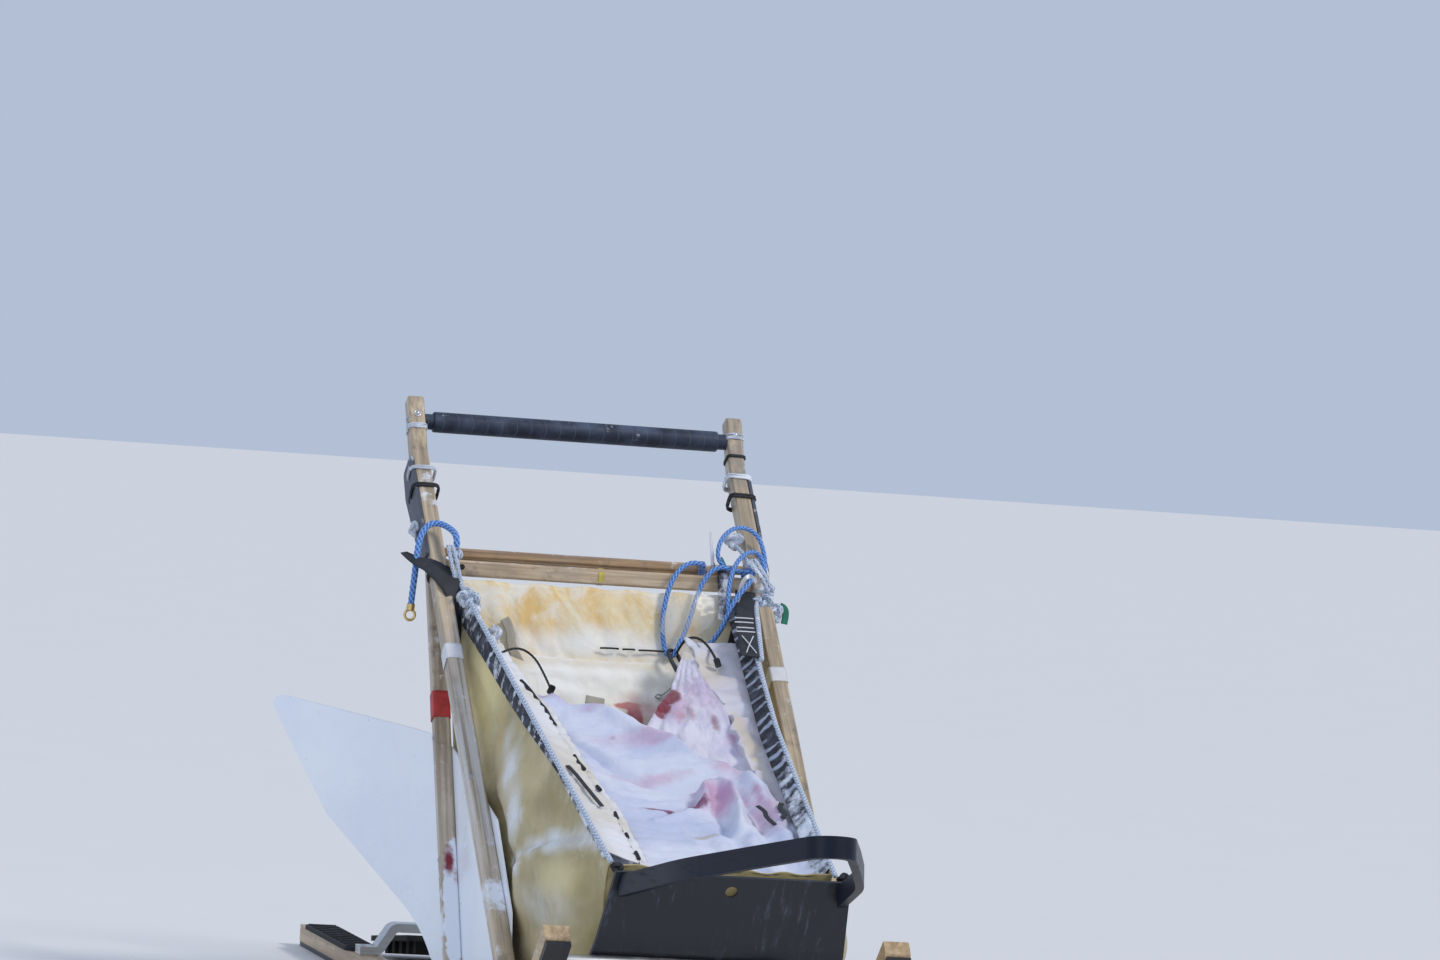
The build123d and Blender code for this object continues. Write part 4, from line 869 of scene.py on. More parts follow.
# Side flaps: share along the rim, x of the free edge, its drop below the rim, sag of the middle
BIG_FLAP = [
    (0.17, -182, 36, 2),
    (0.33, -166, 42, 4),
    (0.37, -62, 44, 14),
    (0.42, -4, 44, 22),
    (0.50, 44, 44, 26),
    (0.61, 130, 40, 28),
    (0.70, 146, 36, 26),
    (0.80, 150, 31, 20),
    (0.955, 146, 28, 8),
]
SMALL_FLAP = [
    (0.11, 176, 52, 2),
    (0.20, 128, 64, 8),
    (0.32, 150, 92, 6),
    (0.46, 146, 110, 6),
    (0.62, 140, 114, 6),
    (0.80, 132, 104, 5),
    (0.955, 128, 78, 4),
]
# Folds of the big flap in plan: line, width and height
FLAP_FOLDS = [
    ([(-165, -640), (-113, -600), (-56, -648), (8, -722), (70, -760), (108, -812), (128, -880)], 11, 9),
    ([(-150, -690), (-56, -806), (-19, -830), (28, -841), (60, -850)], 9, -10),
    ([(-120, -730), (-40, -775), (20, -800), (80, -815)], 16, 7),
    ([(-46, -941), (-25, -927), (6, -902), (33, -887)], 5, -14),
    ([(-50, -955), (-20, -940), (10, -918), (40, -905)], 7, 6),
    ([(36, -905), (44, -868), (66, -856), (80, -880), (80, -935), (66, -1000)], 9, 20),
    ([(54, -905), (56, -960), (46, -1000)], 9, -10),
    ([(112, -850), (128, -920), (132, -990)], 9, 9),
    ([(96, -880), (104, -950), (104, -1010)], 8, -7),
]


def flap_grid(rows, sign, along, across):
    """Share along the rim, share out from it, and the points of a flap that hangs inwards from a rim."""
    share, out = net((rows[0][0], rows[-1][0]), along, (0, 1), across)
    edge_x, drop, sag = table(rows, share, 0.012)
    rim_y, rim_z = rim_at(share, sign)
    seam_x, seam_z = sign * (rim_half(share, sign) - 3.3), rim_z - 31
    run_x, run_z = edge_x - seam_x, rim_z - drop - seam_z
    length = np.hypot(run_x, run_z)
    down_x, down_z = sign * run_z / length, -sign * run_x / length
    bow = np.where(down_z > 0, -1, 1) * 4 * out * (1 - out) * sag
    x, z = seam_x + run_x * out + down_x * bow, seam_z + run_z * out + down_z * bow
    return share, out, np.stack([x, rim_y, z + 1.2], axis=-1)


share, out, grid = flap_grid(BIG_FLAP, -1, 190, 150)
x, y, z = np.moveaxis(grid, -1, 0)
fan = np.sin(y / 6.2 + 3.0 * cloud(grid * (0.3, 1, 1), 0.012, 8.0) + out * 2.5)
lift = 3.4 * fan * np.exp(-out * 3.2) * unit(out * 14)
lift += 4.0 * cloud(grid * (0.5, 1.2, 1), 0.013, 6.0) * unit(out * 5)
lift += 1.3 * cloud(grid * (0.6, 1.5, 1), 0.05, 2.0)
front = unit((share - 0.70) * 7) * unit((x + 20) / 90)
lift += 7.0 * front * np.sin(x / 7.5 + 1.8 * cloud(grid, 0.01, 11.0) + y / 70)
lift += ridges(grid[..., :2], FLAP_FOLDS)
z += 1.25 * lift * unit((1 - share) * 20)
ruffle = bell(out, 0.03, 0.03) * unit((share - 0.4) * 8)
z += 3.5 * ruffle * (1 + np.sin(y / 3.4 + 2 * cloud(grid, 0.02, 3.0)))
big_flap = cloth("side_flap_right_cloth", grid, 2.0, "flap_cloth_big", "side_flap_right")

# The small flap runs inwards to a wavy fold line, then down to its free edge
FOLD_IN = [0.11, 0.16, 0.24, 0.32, 0.43, 0.5, 0.63, 0.92], [92, 92, 80, 58, 50, 43, 42, 34]
FOLD_DROP = [0.11, 0.2, 0.4, 0.6, 0.92], [0, 4, 9, 14, 16]
share, out, grid = flap_grid(SMALL_FLAP, 1, 220, 60)
seam, edge = grid[:, :1, :], grid[:, -1:, :]
fold = seam.copy()
x, y, z = np.moveaxis(fold, -1, 0)
x -= np.interp(share[:, :1], *FOLD_IN)
z -= np.interp(share[:, :1], *FOLD_DROP)
wavy = cloud(fold * (0.4, 1, 1), 0.016, 5.0)
x += 5.0 * wavy + 3.2 * np.sin(y / 8.0 + 2.5 * wavy)
z += 5.0 * wavy + 3.0 * np.sin(y / 6.5 + 1.0)
first, second = unit(out / 0.5)[..., None], unit((out - 0.5) / 0.5)[..., None]
grid = seam + (fold - seam) * first**1.1 + (edge - fold) * second
x, y, z = np.moveaxis(grid, -1, 0)
z += 4.0 * bell(out, 0.5, 0.07)
z += np.sin(pi * out) * (2.6 * cloud(grid * (1, 0.8, 1), 0.03, 2.0) + 2.0 * np.sin(y / 11.0 + x / 14.0))
small_flap = cloth("side_flap_left_cloth", grid, 2.0, "flap_cloth_small", "side_flap_left")

# Pleated cloth that hangs from the clip's corner down behind the big flap's free edge
FALL_STOPS = [0, 0.3, 0.6, 1]
PLEAT_LEFT = [108, 74, 34, -50], [-438, -510, -580, -730], [577, 524, 485, 404]
PLEAT_RIGHT = [121, 116, 132, 142], [-441, -528, -612, -850], [578, 545, 505, 372]
fall, wide = net((0, 1), 110, (0, 1), 120)
left, right = (
    np.stack([np.interp(fall, FALL_STOPS, column) for column in columns], -1)
    for columns in (PLEAT_LEFT, PLEAT_RIGHT)
)
grid = left + (right - left) * wide[..., None]
x, y, z = np.moveaxis(grid, -1, 0)
drift = cloud(grid * (1, 0.6, 0.6), 0.014, 3.0)
pleat = np.sin(wide * 2 * pi * 4.2 + 2.4 * drift + 0.8 * np.sin(fall * 4))
pleat *= np.clip(fall * 3.5, 0.1, 1) * (0.5 + 0.6 * drift)
y += 3.5 * pleat + 4.0 * cloud(grid, 0.022, 6.0) * unit(fall * 4)
z += 4.5 * pleat + 3.0 * cloud(grid, 0.05, 1.0)
pleats = cloth("flap_pleats", grid, 1.8, "flap_cloth_pleat")

# Webbing over the rims, with cross ribs; its profile in mm out from the rim's line and above it.
# Sign -1 is the sled's right side, where the outer part fades out towards the front
RUNG = 0.032
WEB_TOP = [(-3.0, 1.2), (-1.2, 2.2), (1.2, 2.2), (3.0, 1.2)]
WEB_IN = {
    -1: [(-3.6, -23), (-3.8, -17), (-3.7, -10), (-3.5, -3)],
    1: [(-17.5, -17), (-13.5, -13), (-9.5, -8.5), (-5.5, -4)],
}
WEB_OUT = {
    -1: [(4.5, -7), (6.5, -19), (7.8, -32), (8, -46)],
    1: [(3.5, -3), (3.7, -7), (3.8, -11), (3.6, -15)],
}
WEB_FADE = [0.1, 0.25, 0.4, 0.5, 0.62, 0.7], [0.72, 0.55, 0.48, 0.38, 0.16, 0]
WEB_ENDS = 0.028, 0.986


def webbing(name, sign, paint):
    share = np.linspace(*WEB_ENDS, 760)
    full = np.ones(len(share))
    y, z = rim_at(share, sign)
    line = np.stack([sign * (rim_half(share, sign) - CLOTH_HALF), y, z], 1)
    reach = np.concatenate([[0], np.cumsum(np.linalg.norm(np.diff(line, axis=0), axis=1))]) / 1000
    along = np.array([0, *(RIM_FRONT - RIM_REAR)])
    up = np.cross([-1, 0, 0], along / np.linalg.norm(along))
    up *= np.sign(up[2])
    fade = full if sign > 0 else np.interp(share, *WEB_FADE)
    profile = WEB_IN[sign] + WEB_TOP + WEB_OUT[sign]
    last = len(profile) - 1
    grid = np.zeros((len(share), len(profile), 3))
    for j, (s, h) in enumerate(profile):
        outer = j >= len(profile) - len(WEB_OUT[sign])
        shrink = fade if outer else full
        rib = np.clip(np.sin(2 * pi * (reach / RUNG + 0.12 * j / last)) * 2.5, -0.3, 1) * (0 < j < last)
        out_by = 3 + (s - 3) * shrink if outer else s + 0.5 * rib * np.sign(s)
        rise_by = -1 + (h + 1) * shrink + 0.6 * rib + 1.2 * np.sin(reach / 0.09 + j * 0.2) * (h < -10)
        grid[:, j] = line + np.outer(sign * out_by * full, [1, 0, 0]) + up * rise_by[:, None]
    grid = grid if sign < 0 else grid[:, ::-1]
    web = cloth(name + "_woven", grid, 1.3, paint, name, reach[-1] / RUNG)


def rim_rope(side, sign):
    """The taut rope of a rim, from corner to corner of the CAD's."""
    low, high = node_box("rim_rope_" + side)
    outer, inner = (high, low) if sign > 0 else (low, high)
    start = np.array([outer[0] - sign * 3.2, high[1] - 1.2, high[2] - 3.0])
    end = np.array([inner[0] + sign * 3.2, low[1] + 1.2, low[2] + 3.0])
    share = np.linspace(0, 1, 60)
    line = start + (end - start) * share[:, None]
    out, drop = (3.0, 4.0) if sign > 0 else (0.0, 0.6 * np.sin(pi * share))
    line[:, 0] += sign * (rim_half(share, sign) - RIM_HALF + RIM_TAPER * share + out)
    line[:, 2] -= rim_at(share)[1] - rim_at(share, sign)[1] + drop
    braid = tube_mesh(place(line), 0.0040, 16, 4, 0.010, 0.13, 0.0014)
    piece("rim_rope_braid_" + side, braid, "pale_rope", "rim_rope_" + side)


for side, sign, paint in (("left", 1, "webbing_ladder"), ("right", -1, "webbing_plain")):
    webbing("webbing_" + side, sign, paint)
    rim_rope(side, sign)

# A post's middle line: cosine and sine of its slope, y at a height, that height, run back for each mm up
LEG_BEND_Z = 850
LEG_LOW = (cos(radians(41.4)), sin(radians(41.4)), -950, 100, 1.1343)
LEG_TOP = (cos(radians(58)), sin(radians(58)), -99.3, 850, 0.6249)
STANCHION = (0.4518, 0.8921, -600, 22.3, 0.5064)
TRACK_HALF = 250
LEAN_FROM, LEAN = 36.3, 0.01332
LEG_HALF = (13.0, 15.0)
STANCHION_HALF = (13.0, 11.0)
PLATE_HALF = (18.6, 15.0)


def on_post(post, side, z, out, ahead, along):
    c, s, start_y, start_z, run = post
    x, y = TRACK_HALF + (z - LEAN_FROM) * LEAN, start_y + (z - start_z) * run
    return np.array([side * (x + out), y - s * ahead + c * along, z + c * ahead + s * along])


def on_leg(side, z, out=0.0, ahead=0.0, along=0.0):
    """A point on a long leg, in model mm: out from the sled, ahead of its middle line and up along it."""
    return on_post(LEG_LOW if z < LEG_BEND_Z else LEG_TOP, side, z, out, ahead, along)


def on_stanchion(side, z, out=0.0, ahead=0.0, along=0.0):
    return on_post(STANCHION, side, z, out, ahead, along)


def squarish(angle, half_x, half_d, power=0.42):
    """A rounded rectangle's outline at these angles."""
    c, s = np.cos(angle), np.sin(angle)
    return half_x * np.sign(c) * np.abs(c) ** power, half_d * np.sign(s) * np.abs(s) ** power


def place_all(where, side, z, out, ahead, along):
    return np.array([where(side, z, o, a, g) for o, a, g in zip(out, ahead, along)])


def wraps(name, side, z, half, count, radius, paint):
    """Turns of cord round a leg, beside each other, a little uneven."""
    angle = np.linspace(0.3, 0.3 + 2 * pi * count, int(46 * count))
    wobble = np.array([noise.noise(Vector((a * 0.7, z * 0.1, 1.0))) for a in angle])
    out, ahead = squarish(angle, half[0] + radius, half[1] + radius)
    along = (angle / (2 * pi) - count / 2) * radius * 1.9 + wobble * radius * 1.2
    line = place(place_all(on_leg, side, z, out, ahead, along))
    ring, turns = (14, 3) if radius > 2 else (8, 0)
    piece(name, tube_mesh(line, radius / 1000, ring, turns), paint)


def tape(name, where, side, z, tall, half, paint):
    """Tape stuck round a leg, its end lapping over."""
    angle, rise = net((0.6, 0.6 + 2 * pi * 1.06), 96, (-0.5, 0.5), 9)
    grow = 0.5 + 0.5 * (angle - 0.6) / (2 * pi)
    out, ahead = (v + np.sign(v) * grow for v in squarish(angle, *half, 0.25))
    along = rise * tall + 0.6 * np.sin(angle * 5) * (np.abs(rise) > 0.45)
    flat = place_all(where, side, z, out.ravel(), ahead.ravel(), along.ravel())
    cloth(name, flat.reshape(*angle.shape, 3), 0.5, paint)


tape("white_tape_right", on_leg, -1, 547, 32, LEG_HALF, "white_tape")
tape("white_tape_left", on_leg, 1, 541, 31, LEG_HALF, "white_tape")
tape("red_tape_right", on_stanchion, -1, 467, 44, STANCHION_HALF, "red_tape")
for name, side, z, half, count, radius, paint in (
    ("lashing_top_right", -1, 888, LEG_HALF, 3, 1.5, "rime_knot"),
    ("lashing_plate_right", -1, 819, PLATE_HALF, 2, 2.0, "rime_knot"),
    ("elastic_right", -1, 792, PLATE_HALF, 2, 2.2, "black_cord"),
    ("lashing_low_right", -1, 668, LEG_HALF, 2, 2.2, "black_cord"),
    ("lashing_top_left", 1, 905, LEG_HALF, 3, 1.6, "rime_knot"),
    ("lashing_mid_left", 1, 874, LEG_HALF, 2, 1.6, "black_cord"),
    ("lashing_plate_left", 1, 838, PLATE_HALF, 3, 1.8, "rime_knot"),
    ("elastic_left", 1, 808, PLATE_HALF, 2, 2.2, "black_cord"),
    ("lashing_joint_left", 1, 700, LEG_HALF, 6, 2.8, "rime_knot"),
):
    wraps(name, side, z, half, count, radius, paint)


def cord_piece(name, points, radius, paint, braid=0):
    """A thin cord along a smooth line through these model points."""
    line = route(points)
    return piece(name, tube_mesh(line, radius / 1000, 14 if braid else 10, braid), paint), line


def free_cord(name, points, radius, paint, braid):
    """A thin cord along a smooth line through these model points, from its first point."""
    obj, line = cord_piece(name, points, radius, paint, braid)


def lump_mesh(centre, size, seed):
    """A clot of rime."""
    rings, spokes = 18, 26
    lat, lon = net((0, pi), rings, (0, 2 * pi), spokes + 1)
    lat, lon = lat[:, :-1], lon[:, :-1]
    ball = np.stack([np.sin(lat) * np.cos(lon), np.sin(lat) * np.sin(lon), np.cos(lat)], -1)
    ball = ball * (1 + 0.35 * cloud(ball, 1.7, seed))[..., None]
    return round_mesh(place(ball * np.array(size) + np.array(centre)).reshape(-1, 3), rings, spokes)


def knot(name, centre, size, radius, paint, turn, replaces=None):
    """An overhand knot drawn tight, with rime in its hollows. size is its half width, depth and height."""
    t = np.linspace(0, 2 * pi, 120, endpoint=False)
    raw = np.stack([np.sin(t) + 2 * np.sin(2 * t), -3 * np.sin(3 * t), np.cos(t) - 2 * np.cos(2 * t)], 1) / 3
    spin = np.array([[cos(turn), 0, -sin(turn)], [0, 1, 0], [sin(turn), 0, cos(turn)]])
    line = place((raw @ spin.T) * (np.array(size) - radius) + np.array(centre))
    line = np.concatenate([line, line[:1]])
    rope = tube_mesh(line, radius / 1000, 14, 3, 0.008, 0.12, 0.0012, closed=True)
    lump = lump_mesh(centre, [v * 0.72 for v in size], sum(centre) * 0.01)
    piece(name, join([rope, lump]), paint, replaces)


# The two knots at the legs and the band stand for the CAD's
KNOT_OUT, KNOT_Y, KNOT_Z = 235.3, -316.4, 698
KNOT_HALF = (10.5, 15, 14.5)
for node, side, paint, slot in (
    ("snub_knot_left", 1, "blue_rope", "blue_rope"),
    ("tie_knot_right", -1, "pale_rope", "rope"),
):
    centre = (side * KNOT_OUT, KNOT_Y, KNOT_Z)
    knot(node + "_tied", centre, KNOT_HALF, 4.2, paint, 0.4, node)
BAND_TURNS = (166.2, 170.0, 173.8)
BAND_Y, BAND_Z = -266, 703
BAND_HALF = (10.3, 9.3)
angle = np.linspace(0, 2 * pi, 60, endpoint=False)
y, z = squarish(angle, *BAND_HALF, 0.5)
band = []
for x in BAND_TURNS:
    loop = np.stack([np.full_like(y, x), y + BAND_Y, z + BAND_Z], 1)
    loop = place(np.concatenate([loop, loop[:1]]))
    band.append(tube_mesh(loop, 0.0019, 10, 2, 0.006, 0.12, 0.0012, closed=True))
piece("snub_band_left_wound", join(band), "blue_rope", "snub_band_left")

# Loops round the sled's left upright, and knots
OUTER_LOOP = [
    (199, -306, 707), (187, -312, 717), (185, -308, 731), (191, -298, 748), (204, -284, 762),
    (224, -266, 771), (247, -250, 770), (263, -254, 760), (270, -266, 741), (273, -278, 715),
    (270, -292, 690),
]
INNER_LOOP = [
    (195, -360, 643), (196, -353, 658), (198, -344, 675), (202, -336, 695), (212, -320, 713),
    (228, -300, 728), (247, -280, 735), (261, -276, 732), (267, -284, 719), (268, -296, 703),
]
free_cord("blue_loop_outer_left", OUTER_LOOP, 3.6, "blue_rope", 4)
free_cord("blue_loop_inner_left", INNER_LOOP, 3.6, "blue_rope", 4)
for name, centre, size, radius, paint, turn in (
    ("rime_knot_inner_left", (231, -230, 748), (17, 13, 16), 4.2, "rime_knot", 0.2),
    ("rime_knot_high_left", (270, -322, 676), (10, 10, 11), 3.4, "pale_rope", 0.8),
    ("rime_knot_mid_left", (263, -337, 655), (16, 13, 17), 4.4, "pale_rope", 1.2),
    ("rime_knot_low_left", (277, -340, 642), (14, 12, 17), 4.6, "pale_rope", 0.5),
    ("rime_knot_side_left", (246, -337, 659), (9, 9, 9), 3.2, "pale_rope", 0.4),
    ("rime_knot_low_right", (-229, -376, 637), (14, 14, 20), 4.6, "pale_rope", 0.3),
    ("rime_knot_rim_right", (-221, -398, 632), (15, 14, 17), 4.6, "pale_rope", 1.0),
    ("rime_knot_under_right", (-224, -420, 615), (13, 12, 16), 4.2, "rime_knot", 0.7),
    ("rime_knot_tab_right", (-202, -474, 588), (13, 13, 16), 3.8, "rime_knot", 0.2),
    ("rime_knot_plate_right", (-283, -214, 733), (9, 11, 15), 3.4, "rime_knot", 0.6),
    ("black_knot_front_right", (-167, -1212, 300), (10, 10, 10), 3.2, "black_cord", 0.0),
    ("black_knot_front_left", (167, -1212, 300), (10, 10, 10), 3.2, "black_cord", 0.5),
):
    knot(name, centre, size, radius, paint, turn)
PALE_END = [(245, -338, 658), (237, -372, 647), (230, -413, 631), (219, -470, 607), (206, -540, 577)]
for name, radius, points in (
    ("pale_tie_left_c", 3.2, [(231, -236, 742), (234, -262, 735), (236, -292, 724), (236, -318, 710)]),
    ("pale_tie_left_a", 3.6, [(232, -331, 716), (244, -333, 706), (256, -334, 692), (264, -330, 678)]),
    ("pale_tie_left_b", 3.4, [(240, -328, 724), (251, -332, 710), (262, -333, 694), (270, -328, 680)]),
    ("pale_tie_right_a", 3.0, [(-252, -329, 716), (-247, -334, 694), (-240, -338, 668), (-230, -336, 636)]),
    ("pale_tie_right_b", 3.0, [(-245, -329, 716), (-238, -334, 694), (-231, -337, 668), (-222, -335, 640)]),
    ("pale_end_left", 4.0, PALE_END),
):
    cord_piece(name, points, radius, "pale_rope", 4)

# Hem of the sled's right side: share along the rim and inset from it
HEM_SHARES = [0.12, 0.28, 0.36, 0.43, 0.51, 0.63, 0.75, 0.95]
HEM_INSETS = [15, 24, 33, 42, 45, 50, 62, 60]
HEM_ENDS = [0.1, 0.95]
# Where the hem's elastic shows, as shares along the rim
ELASTIC = [(0.33, 0.49), (0.595, 0.645), (0.70, 0.715), (0.79, 0.805), (0.86, 0.87), (0.92, 0.94)]


def cloth_strip(name, insets, drops, ruffle):
    """A narrow cloth: the insets of its two edges, and how far each is below the rim at its ends."""
    share, out = net((0.12, 0.95), 330, (0, 1), 16)
    inset = np.interp(share, *insets[0]) * (1 - out) + np.interp(share, *insets[1]) * out
    drop = np.interp(share, HEM_ENDS, drops[0]) * (1 - out) + np.interp(share, HEM_ENDS, drops[1]) * out
    rim_y, rim_z = rim_at(share)
    grid = np.stack([inset - rim_half(share), rim_y, rim_z - drop], -1)
    x, y, z = np.moveaxis(grid, -1, 0)
    wavy = cloud(grid * (0.2, 1, 1), 0.02, 3.0)
    phase = y / 3.6 + 3.0 * wavy
    z += ruffle * out**1.5 * np.sin(phase) + 3.0 * wavy * out
    z += 1.2 * np.sin(y / 9.0 + 2 * wavy + out * 3) * np.sin(pi * out)
    x += ruffle * 0.9 * out**2 * np.cos(phase + 0.6)
    strip = cloth(name, grid, 1.6, "hem_cloth")


def hem_insets(more):
    return HEM_SHARES, [v + more for v in HEM_INSETS]


upper, lower = ((HEM_ENDS, [4, 4]), hem_insets(0)), (hem_insets(4), hem_insets(17))
cloth_strip("hem_right_upper", upper, ([3, 3], [18, 20]), 2.2)
cloth_strip("hem_right_lower", lower, ([23, 25], [27, 30]), 3.0)
for i, ends in enumerate(ELASTIC):
    shares = np.linspace(*ends, 7)
    y, z = rim_at(shares)
    inset = np.interp(shares, HEM_SHARES, HEM_INSETS) + 2
    points = np.stack([inset - rim_half(shares), y, z - 18.5 + 1.5 * np.sin(shares * 90)], -1)
    cord_piece("hem_elastic_right_%d" % i, points, 2.9, "black_cord")


def ribbon(name, width, thick, paint, normal, points, tip=0.0):
    """A flat strap along a smooth line; its face looks along normal. tip is how much narrower it starts."""
    line, reach = resample(route(points), 0.002)
    line = (line - SHIFT) * 1000
    along = np.gradient(line, axis=0)
    side = np.cross(along, np.broadcast_to(normal, along.shape))
    side /= np.linalg.norm(side, axis=1)[:, None]
    across = np.linspace(-0.5, 0.5, 7)
    wide = width * (1 - tip * (1 - unit(reach / reach[-1] / 0.35)) ** 0.8)
    grid = line[:, None, :] + side[:, None, :] * (wide[:, None] * across[None, :])[:, :, None]
    cloth(name, grid, thick, paint, rungs=reach[-1] / RUNG)


# Straps and tabs: name, width, thickness, paint, the way they face, points
FRONT, SLOPE, STEEP, TILTED = (0, -1, 0), (0, -0.37, 0.93), (0, -0.93, 0.37), (0, -0.9, 0.2)
BEHIND = (0, 0.66, -0.75)
STRAP_RIGHT = [
    (-308, -268, 698), (-297, -308, 688), on_leg(-1, 666, 13, 20), on_leg(-1, 652, 0, 20),
    on_leg(-1, 636, -14, 20), (-230, -370, 610), (-221, -376, 570),
]
STRAP_LEFT = [
    (232, -318, 672), (224, -352, 656), (215, -400, 634), (205, -450, 614), (197, -490, 599),
    (190, -535, 581),
]
BAND_RIGHT = [
    (-175, -905, 421), (-171, -930, 414), (-166, -955, 404), (-160, -985, 392), (-155, -1005, 383),
    (-149, -1027, 373),
]
HOOK_LEFT = [
    (203, -354, 631), (209, -352, 651), (214, -352, 672), (218, -350, 689), (226, -348, 698),
    (236, -342, 696), (244, -336, 687),
]
FROSTED = [(195, -307, 707), (196, -309, 691), (196, -317, 674), (196, -330, 653), (192, -346, 626)]
WHITE_TIE = [(173, -303, 763), (175, -303, 746), (178, -303, 728), (180, -304, 708)]
LOW_A = [(104, -950, 380), (113, -966, 374), (108, -982, 367), (118, -1003, 358)]
LOW_B = [(140, -952, 386), (131, -968, 380), (139, -984, 374), (130, -1000, 368)]
STRIP_RIGHT = [on_leg(-1, z, 8, -17) for z in (812, 770, 722)]
STRIP_LEFT = [on_leg(1, z, 6, -17) for z in (815, 770, 720)]
TAB_MIDDLE = [(-36, -412, 494), (-22, -414, 492), (-6, -414, 490)]
CROSS = [(196, -338, 652), (212, -346, 648), (230, -345, 650), (244, -338, 656)]
TAG = [(284, -344, 654), (291, -342, 652), (295, -340, 640), (293, -338, 626)]
TAG_INNER = [(190, -306, 722), (194, -308, 716), (198, -308, 708)]
TAB = [(-157, -341, 608), (-146, -347, 590), (-146, -352, 566), (-136, -356, 548), (-124, -362, 528)]
ribbon("strap_right", 36, 1.6, "black_strap", (0, -0.661, 0.75), STRAP_RIGHT, 0.7)
ribbon("white_tie_left", 5.5, 1.4, "white_tape", FRONT, WHITE_TIE, 0.45)
for name, width, thick, paint, normal, points in (
    ("strap_end_left", 32, 1.8, "black_strap", SLOPE, STRAP_LEFT),
    ("band_end_right", 6, 1.6, "black_strap", SLOPE, BAND_RIGHT),
    ("grey_loop_left", 7, 3.0, "hook_grey", TILTED, HOOK_LEFT),
    ("frosted_strap_left", 17, 1.4, "frosted_strap", STEEP, FROSTED),
    ("strap_low_left_a", 7, 1.6, "black_strap", SLOPE, LOW_A),
    ("strap_low_left_b", 8, 1.6, "black_strap", SLOPE, LOW_B),
    ("tab_middle", 15, 1.0, "grey_web", (0, -0.8, 0.6), TAB_MIDDLE),
    ("strap_cross_left", 15, 1.6, "black_strap", FRONT, CROSS),
    ("strip_behind_right", 15, 2.0, "black_strap", BEHIND, STRIP_RIGHT),
    ("strip_behind_left", 15, 2.0, "black_strap", BEHIND, STRIP_LEFT),
    ("green_tag_left", 10, 4.0, "green_tape", TILTED, TAG),
    ("green_tag_inner_left", 8, 0.8, "green_tape", FRONT, TAG_INNER),
    ("tab_right", 15, 1.4, "grey_web", FRONT, TAB),
):
    ribbon(name, width, thick, paint, normal, points)

# Stitches across the left strap, their cross, and seams at the back
STITCHES = [(209, -407, 633.5, 15), (206, -421, 627.5, 15), (203, -440, 620, 14), (201, -454, 614.5, 15)]
for i, (x, y, z, half) in enumerate(STITCHES):
    ends = [(x - half, y, z), (x, y - 1, z + 0.6), (x + half, y, z)]
    cord_piece("stitch_left_%d" % i, ends, 1.1, "white_tape")
for i, turn in enumerate((-1, 1)):
    ends = [(199 - 9 * turn, -474, 609), (195, -502, 598), (192 + 8 * turn, -530, 586)]
    cord_piece("stitch_cross_left_%d" % i, ends, 0.9, "white_tape")
for i, (x0, x1) in enumerate(((-4, 26), (32, 52), (58, 100))):
    ends = [(x0, -352, 571.5), ((x0 + x1) / 2, -352, 572.5), (x1, -352, 572)]
    cord_piece("back_seam_%d" % i, ends, 1.5, "black_cord")


def ring_on(name, node, x, width, paint):
    """Tape round a crosspiece."""
    low, high = node_box(node)
    mid, half = (low + high) / 2, (high - low) / 2 + 0.6
    angle, side = net((0, 2 * pi), 60, (-0.5, 0.5), 5)
    y, z = squarish(angle, half[1], half[2], 0.7)
    cloth(name, np.stack([x + side * width, y + mid[1], z + mid[2]], -1), 0.5, paint)


def block(name, centre, size, paint, turn=(0, 0, 0), bevel=1.0, cut=None):
    """A moulded block with rounded edges; cut is the width of the frame round its sunken faces."""
    bm = bmesh.new()
    bmesh.ops.create_cube(bm, size=1.0)
    bmesh.ops.scale(bm, vec=[v / 1000 for v in size], verts=bm.verts)
    if cut:
        faces = [f for f in bm.faces if abs(f.normal.y) > 0.9]
        bmesh.ops.inset_region(bm, faces=faces, thickness=cut / 1000)
        for f in faces:
            bmesh.ops.translate(bm, vec=-f.normal * size[1] * 0.0002, verts=f.verts)
    edges = bm.edges[:]
    bmesh.ops.bevel(bm, geom=edges, offset=bevel / 1000, segments=3, affect="EDGES", clamp_overlap=True)
    rot = Matrix.Identity(4)
    for value, axis in zip(turn, "XYZ"):
        rot = rot @ Matrix.Rotation(value, 4, axis)
    bmesh.ops.transform(bm, matrix=Matrix.Translation(at(*centre)) @ rot, verts=bm.verts)
    mesh = bpy.data.meshes.new(name)
    bm.to_mesh(mesh)
    bm.free()
    return show(name, mesh, paint)


# A batten in the darker wood deepens the upper crosspiece and fills the gap down to the lower one, standing
# for the shade between them.
low, high = node_box("upper_crosspiece")
gap_low = node_box("lower_crosspiece")[1][2]
middle = ((low[0] + high[0]) / 2, (low[1] + high[1]) / 2, (low[2] + gap_low) / 2)
size = (high[0] - low[0] - 40, (high[1] - low[1]) * 0.6, low[2] - gap_low + 3)
block("crosspiece_batten_gap_shade", middle, size, "crosspiece_dark")
ring_on("yellow_tape_lower", "lower_crosspiece", 2, 9, "yellow_tape")

